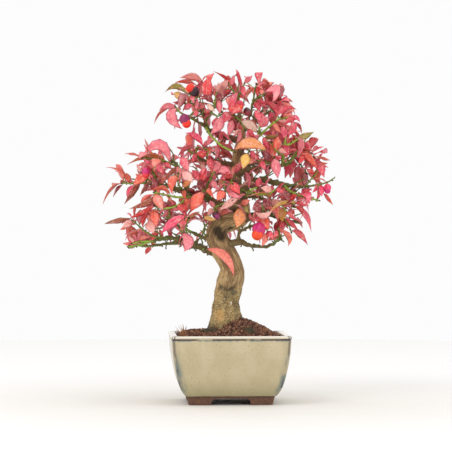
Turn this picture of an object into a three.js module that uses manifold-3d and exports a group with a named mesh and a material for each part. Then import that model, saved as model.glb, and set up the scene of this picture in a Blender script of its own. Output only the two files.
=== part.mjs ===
// A small euonymus bonsai in autumn leaf, in its square glazed pot. Millimetres, +Z up.
// The pot is square to X and Y; the tree's front looks three degrees to the left of -Y.
import * as THREE from "three";
import { mergeVertices } from "three/addons/utils/BufferGeometryUtils.js";
import Module from "manifold-3d";

const wasm = await Module();
wasm.setup();

// Driving dimensions
const GAP = 0.3; // between pieces that touch
const GRAIN = 0.003; // places are rounded to this or a little more, so that no sliver is left
const LEAST_FACE = 1e-5; // square millimetres
const DETAIL = 0.05; // unevenness smaller than this is smoothed away
const TURN = THREE.MathUtils.degToRad(-3); // the tree's front against the pot's front

const RIM = 91; // outer width of the pot's rim
const POT_HEIGHT = 52.5;
const LIP_HEIGHT = 2.9;
const CORNER = 5; // radius of the pot's upright corners
const WALL = 5;
const GLAZE_EDGE = 6.6; // where the glazed bowl ends and the bare foot begins
const RECESS = 6; // height of the hollow between the feet
const RECESS_WIDTH = 43;
const FLOOR_TOP = 10;
const ARCH_WIDTH = 30;
const ARCH_HEIGHT = 4.9;
const ARCH_SHOULDER = 4;
const DRAIN_RADIUS = 8;

const MESH_WIDTH = 26;
const MESH_HOLES = 4; // along each side
const MESH_HOLE = 4.2;
const MESH_THICKNESS = 1;
const MESH_CORNER = 2;
const WIRE = 1.4; // diameter of the clip's wire
const CLIP_REACH = 5; // how far its feet reach past the drain hole

const SOIL_EDGE = 50.6; // the soil's height at the wall
const SOIL_LEVEL = 54.3;
const MOUND = 10.3; // how far the soil rises at the trunk above its level
const MOUND_X = 8;
const MOUND_Y = -5;
const MOUND_SPREAD = 13;
const MESH_ROOM = 2; // how much wider than the mesh the hollow around it is
const MESH_ROOM_HEIGHT = 4;

const TWIG = 0.9; // radius of a green twig where it starts
const TWIG_TIP = 0.6;
const SIDE_TWIG = 0.85; // radius of a side twig against the first
const LEAF_LENGTH = 17;
const LEAF_SHAPE = 0.42; // a leaf's width against its length
const LEAF_WIDEST = 0.48; // share of the way from base to tip
const LEAF_ARCH = 0.08; // rise of its middle against its length
const LEAF_THICKNESS = 1; // at the keel
const STALK = 0.5; // half width of a leaf's stalk
const STALK_LENGTH = 1.5;
const LONG_STALK = 2.5;
const EDGE_ROOM = 1.5; // share of the gap that a leaf's sharp edges need on each side

// Places in the tree are written as they look from the front, x across and z up on the
// plane through the pot's centre, with y the depth behind that plane. The eye stands
// EYE_DISTANCE in front, so a place further back lies wider than it looks.
const EYE_DISTANCE = 1650;
const EYE_X = -2.16;
const EYE_Z = 135.3;
const UP = new THREE.Vector3(0, 0, 1);
const TO_EYE = new THREE.Vector3(0, -1, 0).applyAxisAngle(UP, TURN);

function seen(x, y, z) {
  const spread = 1 + y / EYE_DISTANCE;
  const place = new THREE.Vector3(EYE_X + (x - EYE_X) * spread, y, EYE_Z + (z - EYE_Z) * spread);
  return place.applyAxisAngle(UP, TURN);
}

// Solids

function solid(geometry) {
  const bare = geometry.index ? geometry.toNonIndexed() : geometry.clone();
  bare.deleteAttribute("normal");
  bare.deleteAttribute("uv");
  const merged = mergeVertices(bare, 1e-4);
  return new wasm.Manifold(
    new wasm.Mesh({
      numProp: 3,
      vertProperties: merged.attributes.position.array,
      triVerts: new Uint32Array(merged.index.array),
    }),
  );
}

// True where each edge belongs to two faces only, one each way, and no face is a mere line.
function isClean(body) {
  const { vertProperties, triVerts } = body.getMesh();
  const corner = (v) => new THREE.Vector3().fromArray(vertProperties, 3 * v);
  const nameOf = (v) => corner(v).toArray().map((value) => value.toFixed(3)).join();
  const edges = new Set();
  for (let i = 0; i < triVerts.length; i += 3) {
    const [a, b, c] = triVerts.slice(i, i + 3);
    const triangle = new THREE.Triangle(corner(a), corner(b), corner(c));
    if (triangle.getArea() < LEAST_FACE) return false;
    for (const [from, to] of [[a, b], [b, c], [c, a]]) edges.add(nameOf(from) + ">" + nameOf(to));
  }
  return edges.size === triVerts.length;
}

// The body with its corners on whole grains, less any crumb that this parts from it.
function rounded(body) {
  const { vertProperties, triVerts } = body.simplify(DETAIL).getMesh();
  for (let grain = GRAIN; ; grain += GRAIN / 3) {
    const facets = new THREE.BufferGeometry();
    const places = vertProperties.map((value) => Math.round(value / grain) * grain);
    facets.setAttribute("position", new THREE.BufferAttribute(places, 3));
    facets.setIndex(new THREE.BufferAttribute(triVerts, 1));
    const whole = mainBody(solid(facets));
    if (isClean(whole)) return whole;
  }
}

function geometryOf(body) {
  const { vertProperties, triVerts } = body.getMesh();
  const geometry = new THREE.BufferGeometry();
  geometry.setAttribute("position", new THREE.BufferAttribute(vertProperties, 3));
  geometry.setIndex(new THREE.BufferAttribute(triVerts, 1));
  const facets = geometry.toNonIndexed();
  facets.computeVertexNormals();
  return facets;
}

const joined = (bodies) => (bodies.length === 1 ? bodies[0] : wasm.Manifold.union(bodies));

// The one connected body of most volume.
function mainBody(body) {
  const bodies = body.decompose();
  return bodies.reduce((best, each) => (each.volume() > best.volume() ? each : best));
}

// A closed skin over rings of equal numbers of points; an end ring may be a single point.
function loft(rings) {
  const corners = [];
  const face = (a, b, c) => corners.push(a, b, c);
  const strip = (low, high) => {
    const count = Math.max(low.length, high.length);
    for (let i = 0; i < count; i++) {
      const j = (i + 1) % count;
      if (low.length > 1) face(low[i], low[j], high.length > 1 ? high[j] : high[0]);
      if (high.length > 1) face(low.length > 1 ? low[i] : low[0], high[j], high[i]);
    }
  };
  const cap = (ring, flip) => {
    for (let i = 1; i < ring.length - 1; i++) {
      if (flip) face(ring[0], ring[i + 1], ring[i]);
      else face(ring[0], ring[i], ring[i + 1]);
    }
  };
  cap(rings[0], true);
  for (let k = 0; k < rings.length - 1; k++) strip(rings[k], rings[k + 1]);
  cap(rings[rings.length - 1], false);
  return solid(new THREE.BufferGeometry().setFromPoints(corners));
}

// A tapering round limb through the points, its radii spread evenly over them.
function limb(points, radii, sides, steps, grow = 0) {
  const curve = new THREE.CatmullRomCurve3(points, false, "centripetal");
  const rings = [];
  let normal = null;
  for (let k = 0; k <= steps; k++) {
    const t = k / steps;
    const along = curve.getTangent(t);
    const centre = curve.getPoint(t);
    if (k === 0) centre.addScaledVector(along, -grow);
    if (k === steps) centre.addScaledVector(along, grow);
    if (!normal) normal = new THREE.Vector3(along.z, along.x, along.y);
    normal.addScaledVector(along, -normal.dot(along)).normalize();
    const across = new THREE.Vector3().crossVectors(along, normal);
    const place = t * (radii.length - 1);
    const before = Math.min(Math.floor(place), radii.length - 2);
    const radius = THREE.MathUtils.lerp(radii[before], radii[before + 1], place - before) + grow;
    const ring = [];
    for (let i = 0; i < sides; i++) {
      const angle = (2 * Math.PI * i) / sides;
      ring.push(
        centre
          .clone()
          .addScaledVector(normal, radius * Math.cos(angle))
          .addScaledVector(across, radius * Math.sin(angle)),
      );
    }
    rings.push(ring);
  }
  return loft(rings);
}

// Pot

function roundedSquare(width, corner, arcSteps = 3) {
  const inner = width / 2 - corner;
  const points = [];
  for (let quarter = 0; quarter < 4; quarter++) {
    const signX = quarter === 0 || quarter === 3 ? 1 : -1;
    const signY = quarter < 2 ? 1 : -1;
    for (let i = 0; i <= arcSteps; i++) {
      const angle = (quarter + i / arcSteps) * (Math.PI / 2);
      const x = signX * inner + corner * Math.cos(angle);
      const y = signY * inner + corner * Math.sin(angle);
      points.push(new THREE.Vector2(x, y));
    }
  }
  return points;
}

function squareRing(width, corner, height) {
  return roundedSquare(width, corner).map((p) => new THREE.Vector3(p.x, p.y, height));
}

// Height and width of the bowl's wall, from the foot up.
const bowlProfile = [
  [0, RIM - 27.3],
  [GLAZE_EDGE, RIM - 24.2],
  [GLAZE_EDGE + 0.01, RIM - 22],
  [9, RIM - 18.5],
  [14, RIM - 13],
  [22, RIM - 8.4],
  [30, RIM - 5],
  [40, RIM - 2],
  [POT_HEIGHT - LIP_HEIGHT, RIM - 0.8],
  [POT_HEIGHT - LIP_HEIGHT + 0.01, RIM - 0.3],
  [POT_HEIGHT - 0.8, RIM],
  [POT_HEIGHT, RIM - 1.6],
];
const hollowProfile = [
  [FLOOR_TOP, RIM - 38],
  [20, RIM - 24],
  [34, RIM - 16],
  [POT_HEIGHT + 1, RIM - 2 * WALL],
];

function loftSquare(profile, corner) {
  return loft(profile.map(([height, width]) => squareRing(width, corner, height)));
}

// The bridge between two feet is cut by a flat-topped arch with round shoulders.
function archCut(turn) {
  const half = ARCH_WIDTH / 2;
  const outline = new THREE.Shape();
  outline.moveTo(-half - 2, -1);
  outline.lineTo(half + 2, -1);
  outline.lineTo(half, 0);
  outline.quadraticCurveTo(half - 1, ARCH_HEIGHT, half - ARCH_SHOULDER, ARCH_HEIGHT);
  outline.lineTo(-half + ARCH_SHOULDER, ARCH_HEIGHT);
  outline.quadraticCurveTo(-half + 1, ARCH_HEIGHT, -half, 0);
  const bar = new THREE.ExtrudeGeometry(outline, {
    depth: RIM,
    bevelEnabled: false,
    curveSegments: 4,
  });
  bar.rotateX(Math.PI / 2);
  bar.translate(0, RIM / 2, 0);
  bar.rotateZ(turn);
  return solid(bar);
}

function makePot() {
  const drain = new THREE.CylinderGeometry(DRAIN_RADIUS, DRAIN_RADIUS, FLOOR_TOP * 2, 24);
  drain.rotateX(Math.PI / 2);
  drain.translate(0, 0, FLOOR_TOP);
  const recess = loft([squareRing(RECESS_WIDTH, CORNER, -1), squareRing(RECESS_WIDTH, CORNER, RECESS)]);
  return loftSquare(bowlProfile, CORNER)
    .subtract(loftSquare(hollowProfile, CORNER - 1))
    .subtract(recess)
    .subtract(solid(drain))
    .subtract(archCut(0))
    .subtract(archCut(Math.PI / 2));
}

// The plastic mesh lies on the floor over the drain hole.
const meshBottom = FLOOR_TOP + GAP;
const meshPitch = MESH_WIDTH / MESH_HOLES;

function makeMesh() {
  const top = meshBottom + MESH_THICKNESS;
  const outline = (height) => squareRing(MESH_WIDTH, MESH_CORNER, height);
  const sheet = loft([outline(meshBottom), outline(top)]);
  const holes = [];
  for (let i = 0; i < MESH_HOLES; i++) {
    for (let j = 0; j < MESH_HOLES; j++) {
      const hole = new THREE.BoxGeometry(MESH_HOLE, MESH_HOLE, 3 * MESH_THICKNESS);
      const x = (i + 0.5) * meshPitch - MESH_WIDTH / 2;
      const y = (j + 0.5) * meshPitch - MESH_WIDTH / 2;
      hole.translate(x, y, top);
      holes.push(solid(hole));
    }
  }
  return sheet.subtract(joined(holes));
}

// A bent wire holds the mesh: its bar lies on the mesh, its legs go down through it and
// spread below the pot's floor.
function makeClip() {
  const bar = meshBottom + MESH_THICKNESS + GAP + WIRE / 2;
  const leg = meshPitch / 2;
  const foot = RECESS - GAP - WIRE / 2;
  const reach = DRAIN_RADIUS + CLIP_REACH;
  const right = [
    [leg, 1, bar],
    [leg, 1, bar - 2],
    [leg, 1, foot + 2],
    [leg + 2, 1, foot],
    [reach, 1, foot],
  ];
  const left = right.map(([x, y, z]) => [-x, y, z]).reverse();
  const path = new THREE.CatmullRomCurve3(
    [...left, ...right].map(([x, y, z]) => new THREE.Vector3(x, y + meshPitch / 2 - 1, z)),
    false,
    "catmullrom",
    0.15,
  );
  const section = new THREE.Shape(
    Array.from({ length: 6 }, (_, i) => {
      const angle = (i * Math.PI) / 3;
      return new THREE.Vector2(Math.cos(angle) * (WIRE / 2), Math.sin(angle) * (WIRE / 2));
    }),
  );
  return solid(new THREE.ExtrudeGeometry(section, { steps: 28, extrudePath: path, bevelEnabled: false }));
}

// Soil

// Height of the soil over a place in the pot, inside = 1 at the middle and 0 at the wall.
function soilHeight(x, y, inside) {
  const level = THREE.MathUtils.lerp(SOIL_EDGE, SOIL_LEVEL, Math.min(1, inside * 4));
  const far = (x - MOUND_X) ** 2 + (y - MOUND_Y) ** 2;
  return level + MOUND * Math.exp(-far / (2 * MOUND_SPREAD ** 2)) * Math.min(1, inside * 3);
}

function makeSoil(grow = 0) {
  const rings = hollowProfile.slice(0, 3).map(([height, width]) => {
    const bottom = height === FLOOR_TOP ? height + GAP - grow : height;
    return squareRing(width - 2 * GAP + 2 * grow, CORNER - 1, bottom);
  });
  const rim = RIM - 2 * WALL - 2;
  for (const inside of [0, 0.08, 0.2, 0.36, 0.54, 0.74]) {
    const width = (rim - 2 * GAP + 2 * grow) * (1 - inside);
    const corner = Math.min(width / 2 - 0.5, CORNER - 1 + inside * 30);
    const ring = squareRing(width, corner, 0);
    rings.push(ring.map((p) => new THREE.Vector3(p.x, p.y, soilHeight(p.x, p.y, inside) + grow)));
  }
  rings.push([new THREE.Vector3(0, 0, soilHeight(0, 0, 1) + grow)]);
  const bed = loft(rings);
  if (grow) return bed;
  const wide = MESH_WIDTH + MESH_ROOM;
  const room = new THREE.BoxGeometry(wide, wide, 2 * MESH_ROOM_HEIGHT);
  room.translate(0, 0, FLOOR_TOP);
  return bed.subtract(solid(room));
}

// Wood

// The trunk's centre line as it looks from the front, with its radius at each place.
const trunkLine = [
  [-2, 0, 44, 11],
  [-2, 0, 50, 14],
  [-2.2, 0, 57, 14.2],
  [-2, 0, 62, 13],
  [-2.4, 0, 70, 11],
  [-1.8, -1, 79, 9.9],
  [-0.2, -1, 86, 10.4],
  [0.6, 0, 91, 9.9],
  [2.4, 1, 98, 9.8],
  [2.4, 1, 103, 8.8],
  [-0.6, 0, 110, 9.4],
  [-4.6, -1, 117, 9.6],
  [-8, -2, 124, 8.8],
  [-9, -2, 130, 8],
  [-5.5, -1.5, 136, 7.6],
  [1, 0, 138.5, 7.2],
  [8, 1.5, 141, 6.8],
  [11, 3, 147, 5.8],
  [9.5, 4, 155, 5],
  [6.5, 4, 165, 4.5],
  [5.5, 4, 175, 4.3],
  [6, 4, 184, 4.1],
  [8, 3, 194, 4],
  [9.5, 3, 206, 3.5],
  [8, 2, 216, 2.6],
];

// Branches: radius at the start, radius at the end, places from the trunk outwards.
const branches = [
  [4, 2.6, [-4, -2, 113], [-14, -3, 115.5], [-21, -4, 118.5], [-27, -5, 120.5]],
  [3.2, 1.2, [-25, -5, 120], [-32, -6, 122], [-41, -8, 125.5], [-51, -9, 125.5], [-60, -9, 122.5]],
  [2.4, 1, [-27, -5, 120], [-38, -2, 122.5], [-48, 2, 121.5], [-60, 6, 120]],
  [1, 0.7, [-27, -6, 122], [-23, -7, 125.5], [-16, -8, 128]],
  [3, 1.8, [0, -6, 122], [7, -8, 122.5], [10, -8, 123.3], [13, -9, 121.3], [20, -10, 120]],
  [1.8, 1, [19, -10, 120], [26, -11, 119.5], [31, -12, 120.3], [37, -13, 123.4], [41, -13, 126]],
  [1.7, 0.9, [7, -8, 122], [8, -9, 130], [10, -11, 132], [16, -14, 135], [22, -16, 136]],
  [3.8, 2.4, [9, 3, 149.5], [-1, 1, 151], [-9, 0, 153], [-18, -3, 156], [-28, -5, 159], [-38, -5, 163]],
  [2.6, 1, [-37, -5, 162.5], [-46, -4, 165.5], [-56, -2, 167], [-66, 0, 168.5]],
  [2.2, 1, [-29, -5, 159.5], [-34, -4, 169], [-38, -2, 179], [-44, 0, 186]],
  [3.4, 2.2, [7, 4, 159], [15, 1, 166.5], [25, -3, 171], [35, -5, 168.5]],
  [2.4, 1, [34, -5, 168.5], [45, -4, 167], [55, -2, 166], [62, 0, 165.5]],
  [2.6, 1, [5, 3, 175], [18, -2, 179.5], [31, -6, 181], [41, -8, 181.5], [48, -8, 184]],
  [3.2, 1, [9, 1, 141], [21, -1, 142.5], [34, -4, 143.5], [46, -5, 139.5], [56, -5, 138]],
  [2.6, 1, [6, 4, 182], [-3, 1, 184], [-11, -1, 184.5], [-20, -4, 186], [-27, -6, 190]],
  [3, 1.8, [9, 3, 200], [0, 1, 203.5], [-9, -1, 206], [-17, -2, 211], [-18, -3, 219]],
  [1.8, 0.9, [-18, -3, 218], [-21, -3, 224], [-26, -3, 232]],
  [1.6, 0.9, [-17, -2, 212], [-24, -5, 215.5], [-30, -7, 219]],
  [2.2, 0.9, [9, 3, 206], [16, 2, 213], [24, 0, 219], [32, -2, 224]],
  [1.6, 0.9, [14, 2, 212], [17, 1, 222], [18.5, 1, 231]],
  [2.4, 0.9, [8, 2, 214], [8, 2, 223], [6.5, 1, 231], [8, 0, 238]],
  [1.8, 0.9, [9, 2, 191], [11, -8, 194], [14, -12, 198], [18, -15, 201]],
  [2.6, 1, [-7, 4, 121], [-14, 16, 124], [-23, 28, 128], [-32, 37, 132]],
  [2.4, 1, [-8, 4, 128], [-10, 16, 130], [-12, 30, 130], [-10, 42, 131]],
  [2.8, 1, [9, 4, 142], [16, 20, 143], [26, 32, 146], [35, 40, 150]],
  [2.6, 1, [6, 5, 163], [-7, 18, 168], [-22, 29, 172], [-33, 36, 176]],
  [2.6, 1, [4, 6, 171], [7, 20, 175], [9, 34, 177], [7, 45, 180]],
  [2.4, 1, [6, 5, 180], [19, 15, 184], [32, 24, 186], [43, 30, 189]],
  [2, 0.9, [9, 4, 203], [5, 14, 211], [-2, 23, 219], [-7, 29, 225]],
  [2, 0.9, [9, 4, 208], [16, 13, 214], [22, 20, 219], [26, 25, 224]],
  [2.4, 1, [-5, -4, 139], [-9, -14, 144], [-11, -21, 147]],
  [2.2, 1, [9, 2, 153], [7, -14, 158], [4, -26, 160]],
  [2.2, 1, [6, 2, 169], [2, -12, 172], [-3, -24, 174]],
  [2.4, 1, [8, 2, 158], [18, -10, 158], [28, -20, 156]],
  [2, 0.9, [8, 1, 215], [5, -8, 219], [3, -15, 222]],
];

// Roots that show where the trunk meets the soil, and go down into it.
const roots = [
  [4.5, 2, [-8, -5, 62], [-12.5, -8, 56], [-15, -10, 48]],
  [4, 2, [-4, -10, 61], [-6, -16, 56], [-7, -19, 49]],
  [3.6, 2, [5, -6, 60], [11, -10, 55], [15, -13, 48]],
  [3.6, 2, [6, 6, 62], [12, 10, 57], [15, 12, 49]],
  [4, 2, [-8, 8, 62], [-13, 14, 56], [-16, 17, 48]],
];

function woodLimbs(grow = 0) {
  const trunkPoints = trunkLine.map(([x, y, z]) => seen(x, y, z));
  const trunkRadii = trunkLine.map((place) => place[3]);
  const limbs = [limb(trunkPoints, trunkRadii, 10, 32, grow)];
  for (const [start, end, ...places] of [...branches, ...roots]) {
    const points = places.map((place) => seen(...place));
    const sides = start > 2.5 ? 6 : 4;
    limbs.push(limb(points, [start, end], sides, points.length - 1, grow));
  }
  return limbs;
}

// Leafy shoots

// Each shoot has twigs, the first of which starts in the wood and the others on it, with
// [x, y, z] places. Its leaves are [width, base x, base z, (bend x, bend z), tip x, tip z]
// as they look from the front. facing leans short-looking leaves towards the eye or away.
// more is how many leaves grow beside those, and seed fixes their places.
const shoots = [
  {
    name: "shoot_low_left_tip",
    twigs: [
      [[-58, -8.8, 123.2], [-63, -9, 123.4], [-69, -8, 123], [-74, -6, 122]],
      [[-62, -9, 122.8], [-69, -7, 120.6], [-77, -4, 119.4]],
    ],
    leaves: [
      [3, -71, 123, -73, 129.5],
      [3, -73, 122.5, -77, 127.5],
      [3.5, -69, 124, -65, 127, -61, 126],
      [3, -70, 123.5, -68, 131],
    ],
    facing: -0.4,
    more: 0,
    seed: 11,
  },
  {
    name: "shoot_low_left_rise",
    twigs: [
      [[-50, -9, 126], [-58, -13, 127.5], [-64, -14, 131], [-70, -13, 136], [-74, -11, 139]],
    ],
    leaves: [
      [4, -75, 141, -86, 140.5, -96, 137],
      [6, -74, 139, -81.5, 134],
      [3, -77, 137, -83, 132],
      [4, -62, 144.5, -66.5, 140, -66, 134],
      [9, -62, 139, -58, 129.5],
    ],
    facing: -0.5,
    more: 0,
    seed: 12,
  },
  {
    name: "shoot_low_left_long",
    twigs: [
      [[-32, -7, 123], [-34, -11, 130], [-46, -15, 141], [-52, -17, 146], [-57, -18, 151]],
      [[-44, -14, 139], [-46, -20, 146], [-44, -23, 150]],
    ],
    leaves: [
      [8, -58, 147, -56, 135],
      [4, -57, 151, -66, 147, -76, 141],
      [4, -45, 148, -42.5, 154],
      [3, -45, 147, -37.5, 148.5],
      [3.5, -46, 146, -51, 143],
    ],
    facing: -0.6,
    more: 2,
    seed: 13,
  },
  {
    name: "shoot_low_left_front",
    twigs: [
      [[-29, -6, 121.5], [-31.5, -18, 128], [-33, -28, 134], [-31, -32, 141]],
      [[-31, -16, 127], [-36, -22, 130], [-38, -26, 134]],
    ],
    leaves: [
      [7, -33, 143, -43, 138, -52, 129],
      [9, -36, 130, -31, 123, -34.5, 115.5],
      [2.5, -22, 146, -30, 143.5, -38.5, 131],
      [4, -32, 138, -37, 137],
    ],
    facing: -0.5,
    more: 0,
    seed: 14,
  },
  {
    name: "shoot_low_left_under",
    twigs: [
      [[-58, 5.5, 120.2], [-64, 9, 119.6], [-70, 12, 120], [-76, 14, 118.6]],
    ],
    leaves: [
      [4, -60, 120, -64, 113],
      [5, -68, 120, -62, 131],
    ],
    facing: 0.5,
    more: 3,
    seed: 15,
  },
  {
    name: "shoot_left_tip",
    twigs: [
      [[-64, -0.5, 168.4], [-70, 1, 168.2], [-76, 2, 168], [-82, 3, 168.2]],
    ],
    leaves: [
      [2, -82, 168, -91, 165, -97.5, 151.5],
      [3.5, -79.5, 168.5, -82, 178, -95, 180],
      [2, -81, 172, -83, 177, -88, 176.5],
      [5, -77, 168.5, -79, 176.5],
      [4.5, -68, 169, -73, 163, -79.5, 151.5],
    ],
    facing: -0.5,
    more: 0,
    seed: 21,
  },
  {
    name: "shoot_left_mid",
    twigs: [
      [[-46, -4.5, 165.5], [-54, -12, 167], [-62, -16, 171], [-67, -18, 176]],
      [[-55, -13, 168], [-57, -18, 174], [-59, -20, 178]],
    ],
    leaves: [
      [7, -73.5, 166.5, -60, 175.5],
      [4, -54, 172, -58, 177, -64, 181.5],
      [3, -60, 170, -65, 164, -69, 158],
      [4, -50, 166, -58, 166, -66, 160],
      [6, -56, 182, -50.5, 175.5],
      [4, -60, 178, -61.5, 184.5],
      [3, -67, 177, -70, 181.5],
    ],
    facing: -0.5,
    more: 2,
    seed: 22,
  },
  {
    name: "shoot_left_upper",
    twigs: [
      [[-40, -1.2, 181], [-46, -3, 184], [-52, -4, 186], [-58, -4, 187], [-66, -3, 187.5]],
    ],
    leaves: [
      [2, -67, 188, -73, 191, -80.5, 191],
      [9, -45, 183, -53, 197.5, -66.5, 189],
      [5, -46, 182, -60, 190, -78, 182],
      [4, -50, 184, -44.5, 179.5],
      [4, -37, 180, -43, 178, -50, 171.5],
    ],
    facing: -0.4,
    more: 2,
    seed: 23,
  },
  {
    name: "shoot_left_front",
    twigs: [
      [[-29, -5.5, 160], [-35, -18, 163], [-39, -27, 168], [-39, -30, 175]],
      [[-34, -16, 163], [-30, -23, 168], [-29, -26, 175]],
    ],
    leaves: [
      [7, -37, 172, -43.5, 170, -43.5, 159.5],
      [8, -36, 177, -28, 169.5],
      [7, -37, 188, -31, 177.5],
      [5, -36, 165, -29, 169.5],
      [4, -35, 163, -34, 156.5],
      [5, -29, 176, -23, 171],
    ],
    facing: -0.5,
    more: 0,
    seed: 24,
  },
  {
    name: "shoot_left_lime",
    twigs: [
      [[-23, -4, 157.5], [-30, -20, 157.5], [-40, -24, 157.5], [-50, -24, 159.5], [-57, -24, 161]],
      [[-32, -20, 157], [-39, -26, 151.5], [-44, -27, 149.6], [-51, -26, 148.6]],
    ],
    leaves: [
      [8, -58, 159.5, -51, 147.5],
      [5, -57, 160, -62, 154, -76.5, 149],
      [4, -45, 160, -52, 165, -60, 161],
      [5, -39, 152, -36, 146],
    ],
    facing: -0.5,
    more: 0,
    seed: 25,
  },
  {
    name: "shoot_top_left_out",
    twigs: [
      [[-23.5, -3, 228], [-30, -5, 229], [-36, -6, 231], [-40, -6, 234]],
      [[-30, -5, 229], [-29, -8, 233], [-30, -9, 237]],
    ],
    leaves: [
      [5, -31.5, 236, -40, 243.5, -49.5, 238],
      [5, -42, 238, -36, 231.5],
      [2.5, -40, 229, -52, 224.5, -57.5, 213.5],
      [4, -33, 229.5, -43, 230],
      [5, -35, 225, -28, 228.5],
      [4, -28.5, 236.5, -27, 230.5],
    ],
    facing: -0.5,
    more: 0,
    seed: 31,
  },
  {
    name: "shoot_top_left_low",
    twigs: [
      [[-26, -6, 216.5], [-33, -11, 220.5], [-38, -13, 223], [-41, -14, 227]],
      [[-31, -10, 219], [-27, -13, 223], [-22, -15, 224.5]],
    ],
    leaves: [
      [9, -40, 227, -44.5, 219, -36, 210],
      [3, -22, 224.5, -20, 229, -24.5, 229],
      [4, -24, 224, -26, 219.5],
      [5, -40, 226, -48, 228, -53, 224],
    ],
    facing: -0.5,
    more: 0,
    seed: 32,
  },
  {
    name: "shoot_top_left_high",
    twigs: [
      [[-24, -3, 229], [-25, -2, 236], [-23, 0, 242], [-21, 2, 246]],
    ],
    leaves: [
      [6, -20, 246, -28, 251, -37, 248],
      [3, -24, 243, -32, 247, -41.5, 245],
      [4, -22, 244, -17, 241, -14, 234],
    ],
    facing: -0.4,
    more: 2,
    seed: 33,
  },
  {
    name: "shoot_top_mid_left",
    twigs: [
      [[-18.5, -3, 216], [-14, -11, 222], [-11.5, -16, 228], [-9.5, -18, 237], [-8, -18, 240]],
      [[-14, -12, 223], [-9, -18, 220], [-6, -21, 221]],
    ],
    leaves: [
      [9, -16.5, 233, -17, 242, -14.5, 250],
      [4, -17, 229, -10.5, 223.5],
      [8, -6, 220, -8, 213, -14, 206.5],
      [5, -12, 230, -19.5, 236],
      [6, -10, 232, -2.5, 237],
      [4, -9, 238, -7.5, 245.5],
    ],
    facing: -0.5,
    more: 0,
    seed: 34,
  },
  {
    name: "shoot_top_middle",
    twigs: [
      [[7.5, 0, 233], [5, -4, 237], [2, -6, 241], [0, -7, 245]],
      [[6.5, -1, 235], [10, -2, 239], [12, -2, 245], [14, -1, 248]],
    ],
    leaves: [
      [4, 5, 233, 3, 246, -12.5, 252.5],
      [6, -6.5, 238, -0.5, 247.5],
      [4, 1, 243, 4.5, 249.5],
      [3, 11, 236, 9, 250, 4.5, 255.5],
      [4, 12, 245, 18, 250.5],
      [4, 11, 243, 12, 234.5],
      [2, 20, 241.5, 12, 236],
    ],
    facing: -0.4,
    more: 0,
    seed: 35,
  },
  {
    name: "shoot_top_right_round",
    twigs: [
      [[17.5, 1, 226], [19, 0, 233], [20, 1, 239], [21, 1, 244]],
      [[19, 0, 232], [23, -5, 234.5], [27, -8, 236]],
    ],
    leaves: [
      [3, 22, 235, 23, 242.5, 26.5, 239.5],
      [8, 27.5, 238, 36.5, 240, 33.5, 230],
      [3, 22, 232, 28.5, 229.5],
      [5, 25, 232, 36.5, 226, 35, 216.5],
      [6, 20, 231, 24, 223.5],
    ],
    facing: -0.5,
    more: 0,
    seed: 41,
  },
  {
    name: "shoot_top_right_lime",
    twigs: [
      [[15, -13, 199], [20, -16, 202], [28, -19, 209], [36, -22, 216], [40, -23, 218.5]],
      [[34, -21.5, 214.5], [40, -20, 217.5], [46, -19, 219]],
      [[21, -16, 203], [23.5, -18, 208], [23.5, -19, 214]],
    ],
    leaves: [
      [5, 36.5, 219.5, 44, 227, 52.5, 225],
      [4, 41, 211, 48, 218.5, 53.5, 215.5],
      [3, 38, 215.5, 44.5, 216],
      [5, 20, 224, 24.5, 215.5],
      [9, 24, 211, 30, 219.5],
      [3, 27, 203, 38.5, 204.5],
      [8, 22, 207, 16, 213, 9.5, 216],
      [4, 34, 214, 39.5, 207],
    ],
    facing: -0.6,
    more: 0,
    seed: 42,
  },
  {
    name: "shoot_right_olive",
    twigs: [
      [[41, -8, 182], [42, -13, 190], [43, -15, 198], [44, -15, 206]],
      [[43, -14.5, 197], [48, -13, 199], [53, -12, 202]],
      [[42, -13, 190], [37, -18, 193], [33, -20, 199]],
    ],
    leaves: [
      [5, 44, 205, 49, 210, 52.5, 214.5],
      [6, 43, 202, 41, 212],
      [5, 52, 201.5, 65.5, 207],
      [6, 50, 205, 56, 198, 51, 187.5],
      [6, 36, 192, 38, 204],
      [4, 26, 203, 30.5, 195],
      [4, 38, 194, 44, 191.5],
      [7, 42, 198, 45, 187.5],
    ],
    facing: -0.5,
    more: 0,
    seed: 43,
  },
  {
    name: "shoot_top_front",
    twigs: [
      [[4, -11, 220.5], [2, -19, 222], [1, -25, 224], [1, -27, 227]],
      [[3, -14, 221], [9, -19, 216], [12, -22, 210]],
    ],
    leaves: [
      [8, 1, 223, -4, 214.5],
      [9, -1, 226, 10, 224],
      [6, 3, 217, 0, 204.5],
      [4, 10, 208, 3, 206.5],
      [4, 10, 208, 7, 199.5],
      [4, 14, 209, 20.5, 203],
      [5, 1, 226, 4, 233],
    ],
    facing: -0.6,
    more: 0,
    seed: 44,
  },
  {
    name: "shoot_upper_left",
    twigs: [
      [[-23, -5, 188], [-25, -10, 192], [-24, -12, 196], [-19, -13, 195], [-12, -14, 191.5]],
      [[-26, -6, 189.5], [-29, -8, 192], [-32, -9, 194]],
      [[-15, -14, 193], [-16, -18, 191], [-17, -22, 188]],
    ],
    leaves: [
      [6, -17, 189, -25, 191],
      [4.5, -8, 198, -10, 186.5],
      [6, -16, 187, -12.5, 178.5],
      [4, -22, 182.5, -16.5, 176.5],
      [5, -20, 196, -24, 204, -33.5, 206.5],
      [4, -20, 196.5, -12, 202.5],
      [3.5, -25, 196, -33, 196, -39.5, 188.5],
      [4, -25, 191, -28, 184.5],
    ],
    facing: -0.5,
    more: 0,
    seed: 51,
  },
  {
    name: "shoot_upper_twig",
    twigs: [[[-17.5, -4, 211], [-14, -12, 205], [-9, -18, 200], [-3, -22, 195.5], [4, -24, 192.5]]],
    leaves: [
      [3, -8, 200, -4, 207, 4.5, 194.5],
      [3, -8, 200.5, -5, 206],
      [4, -14, 205, -16, 197.5],
    ],
    facing: -0.5,
    more: 0,
    seed: 53,
  },
  {
    name: "shoot_centre_orange",
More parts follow.
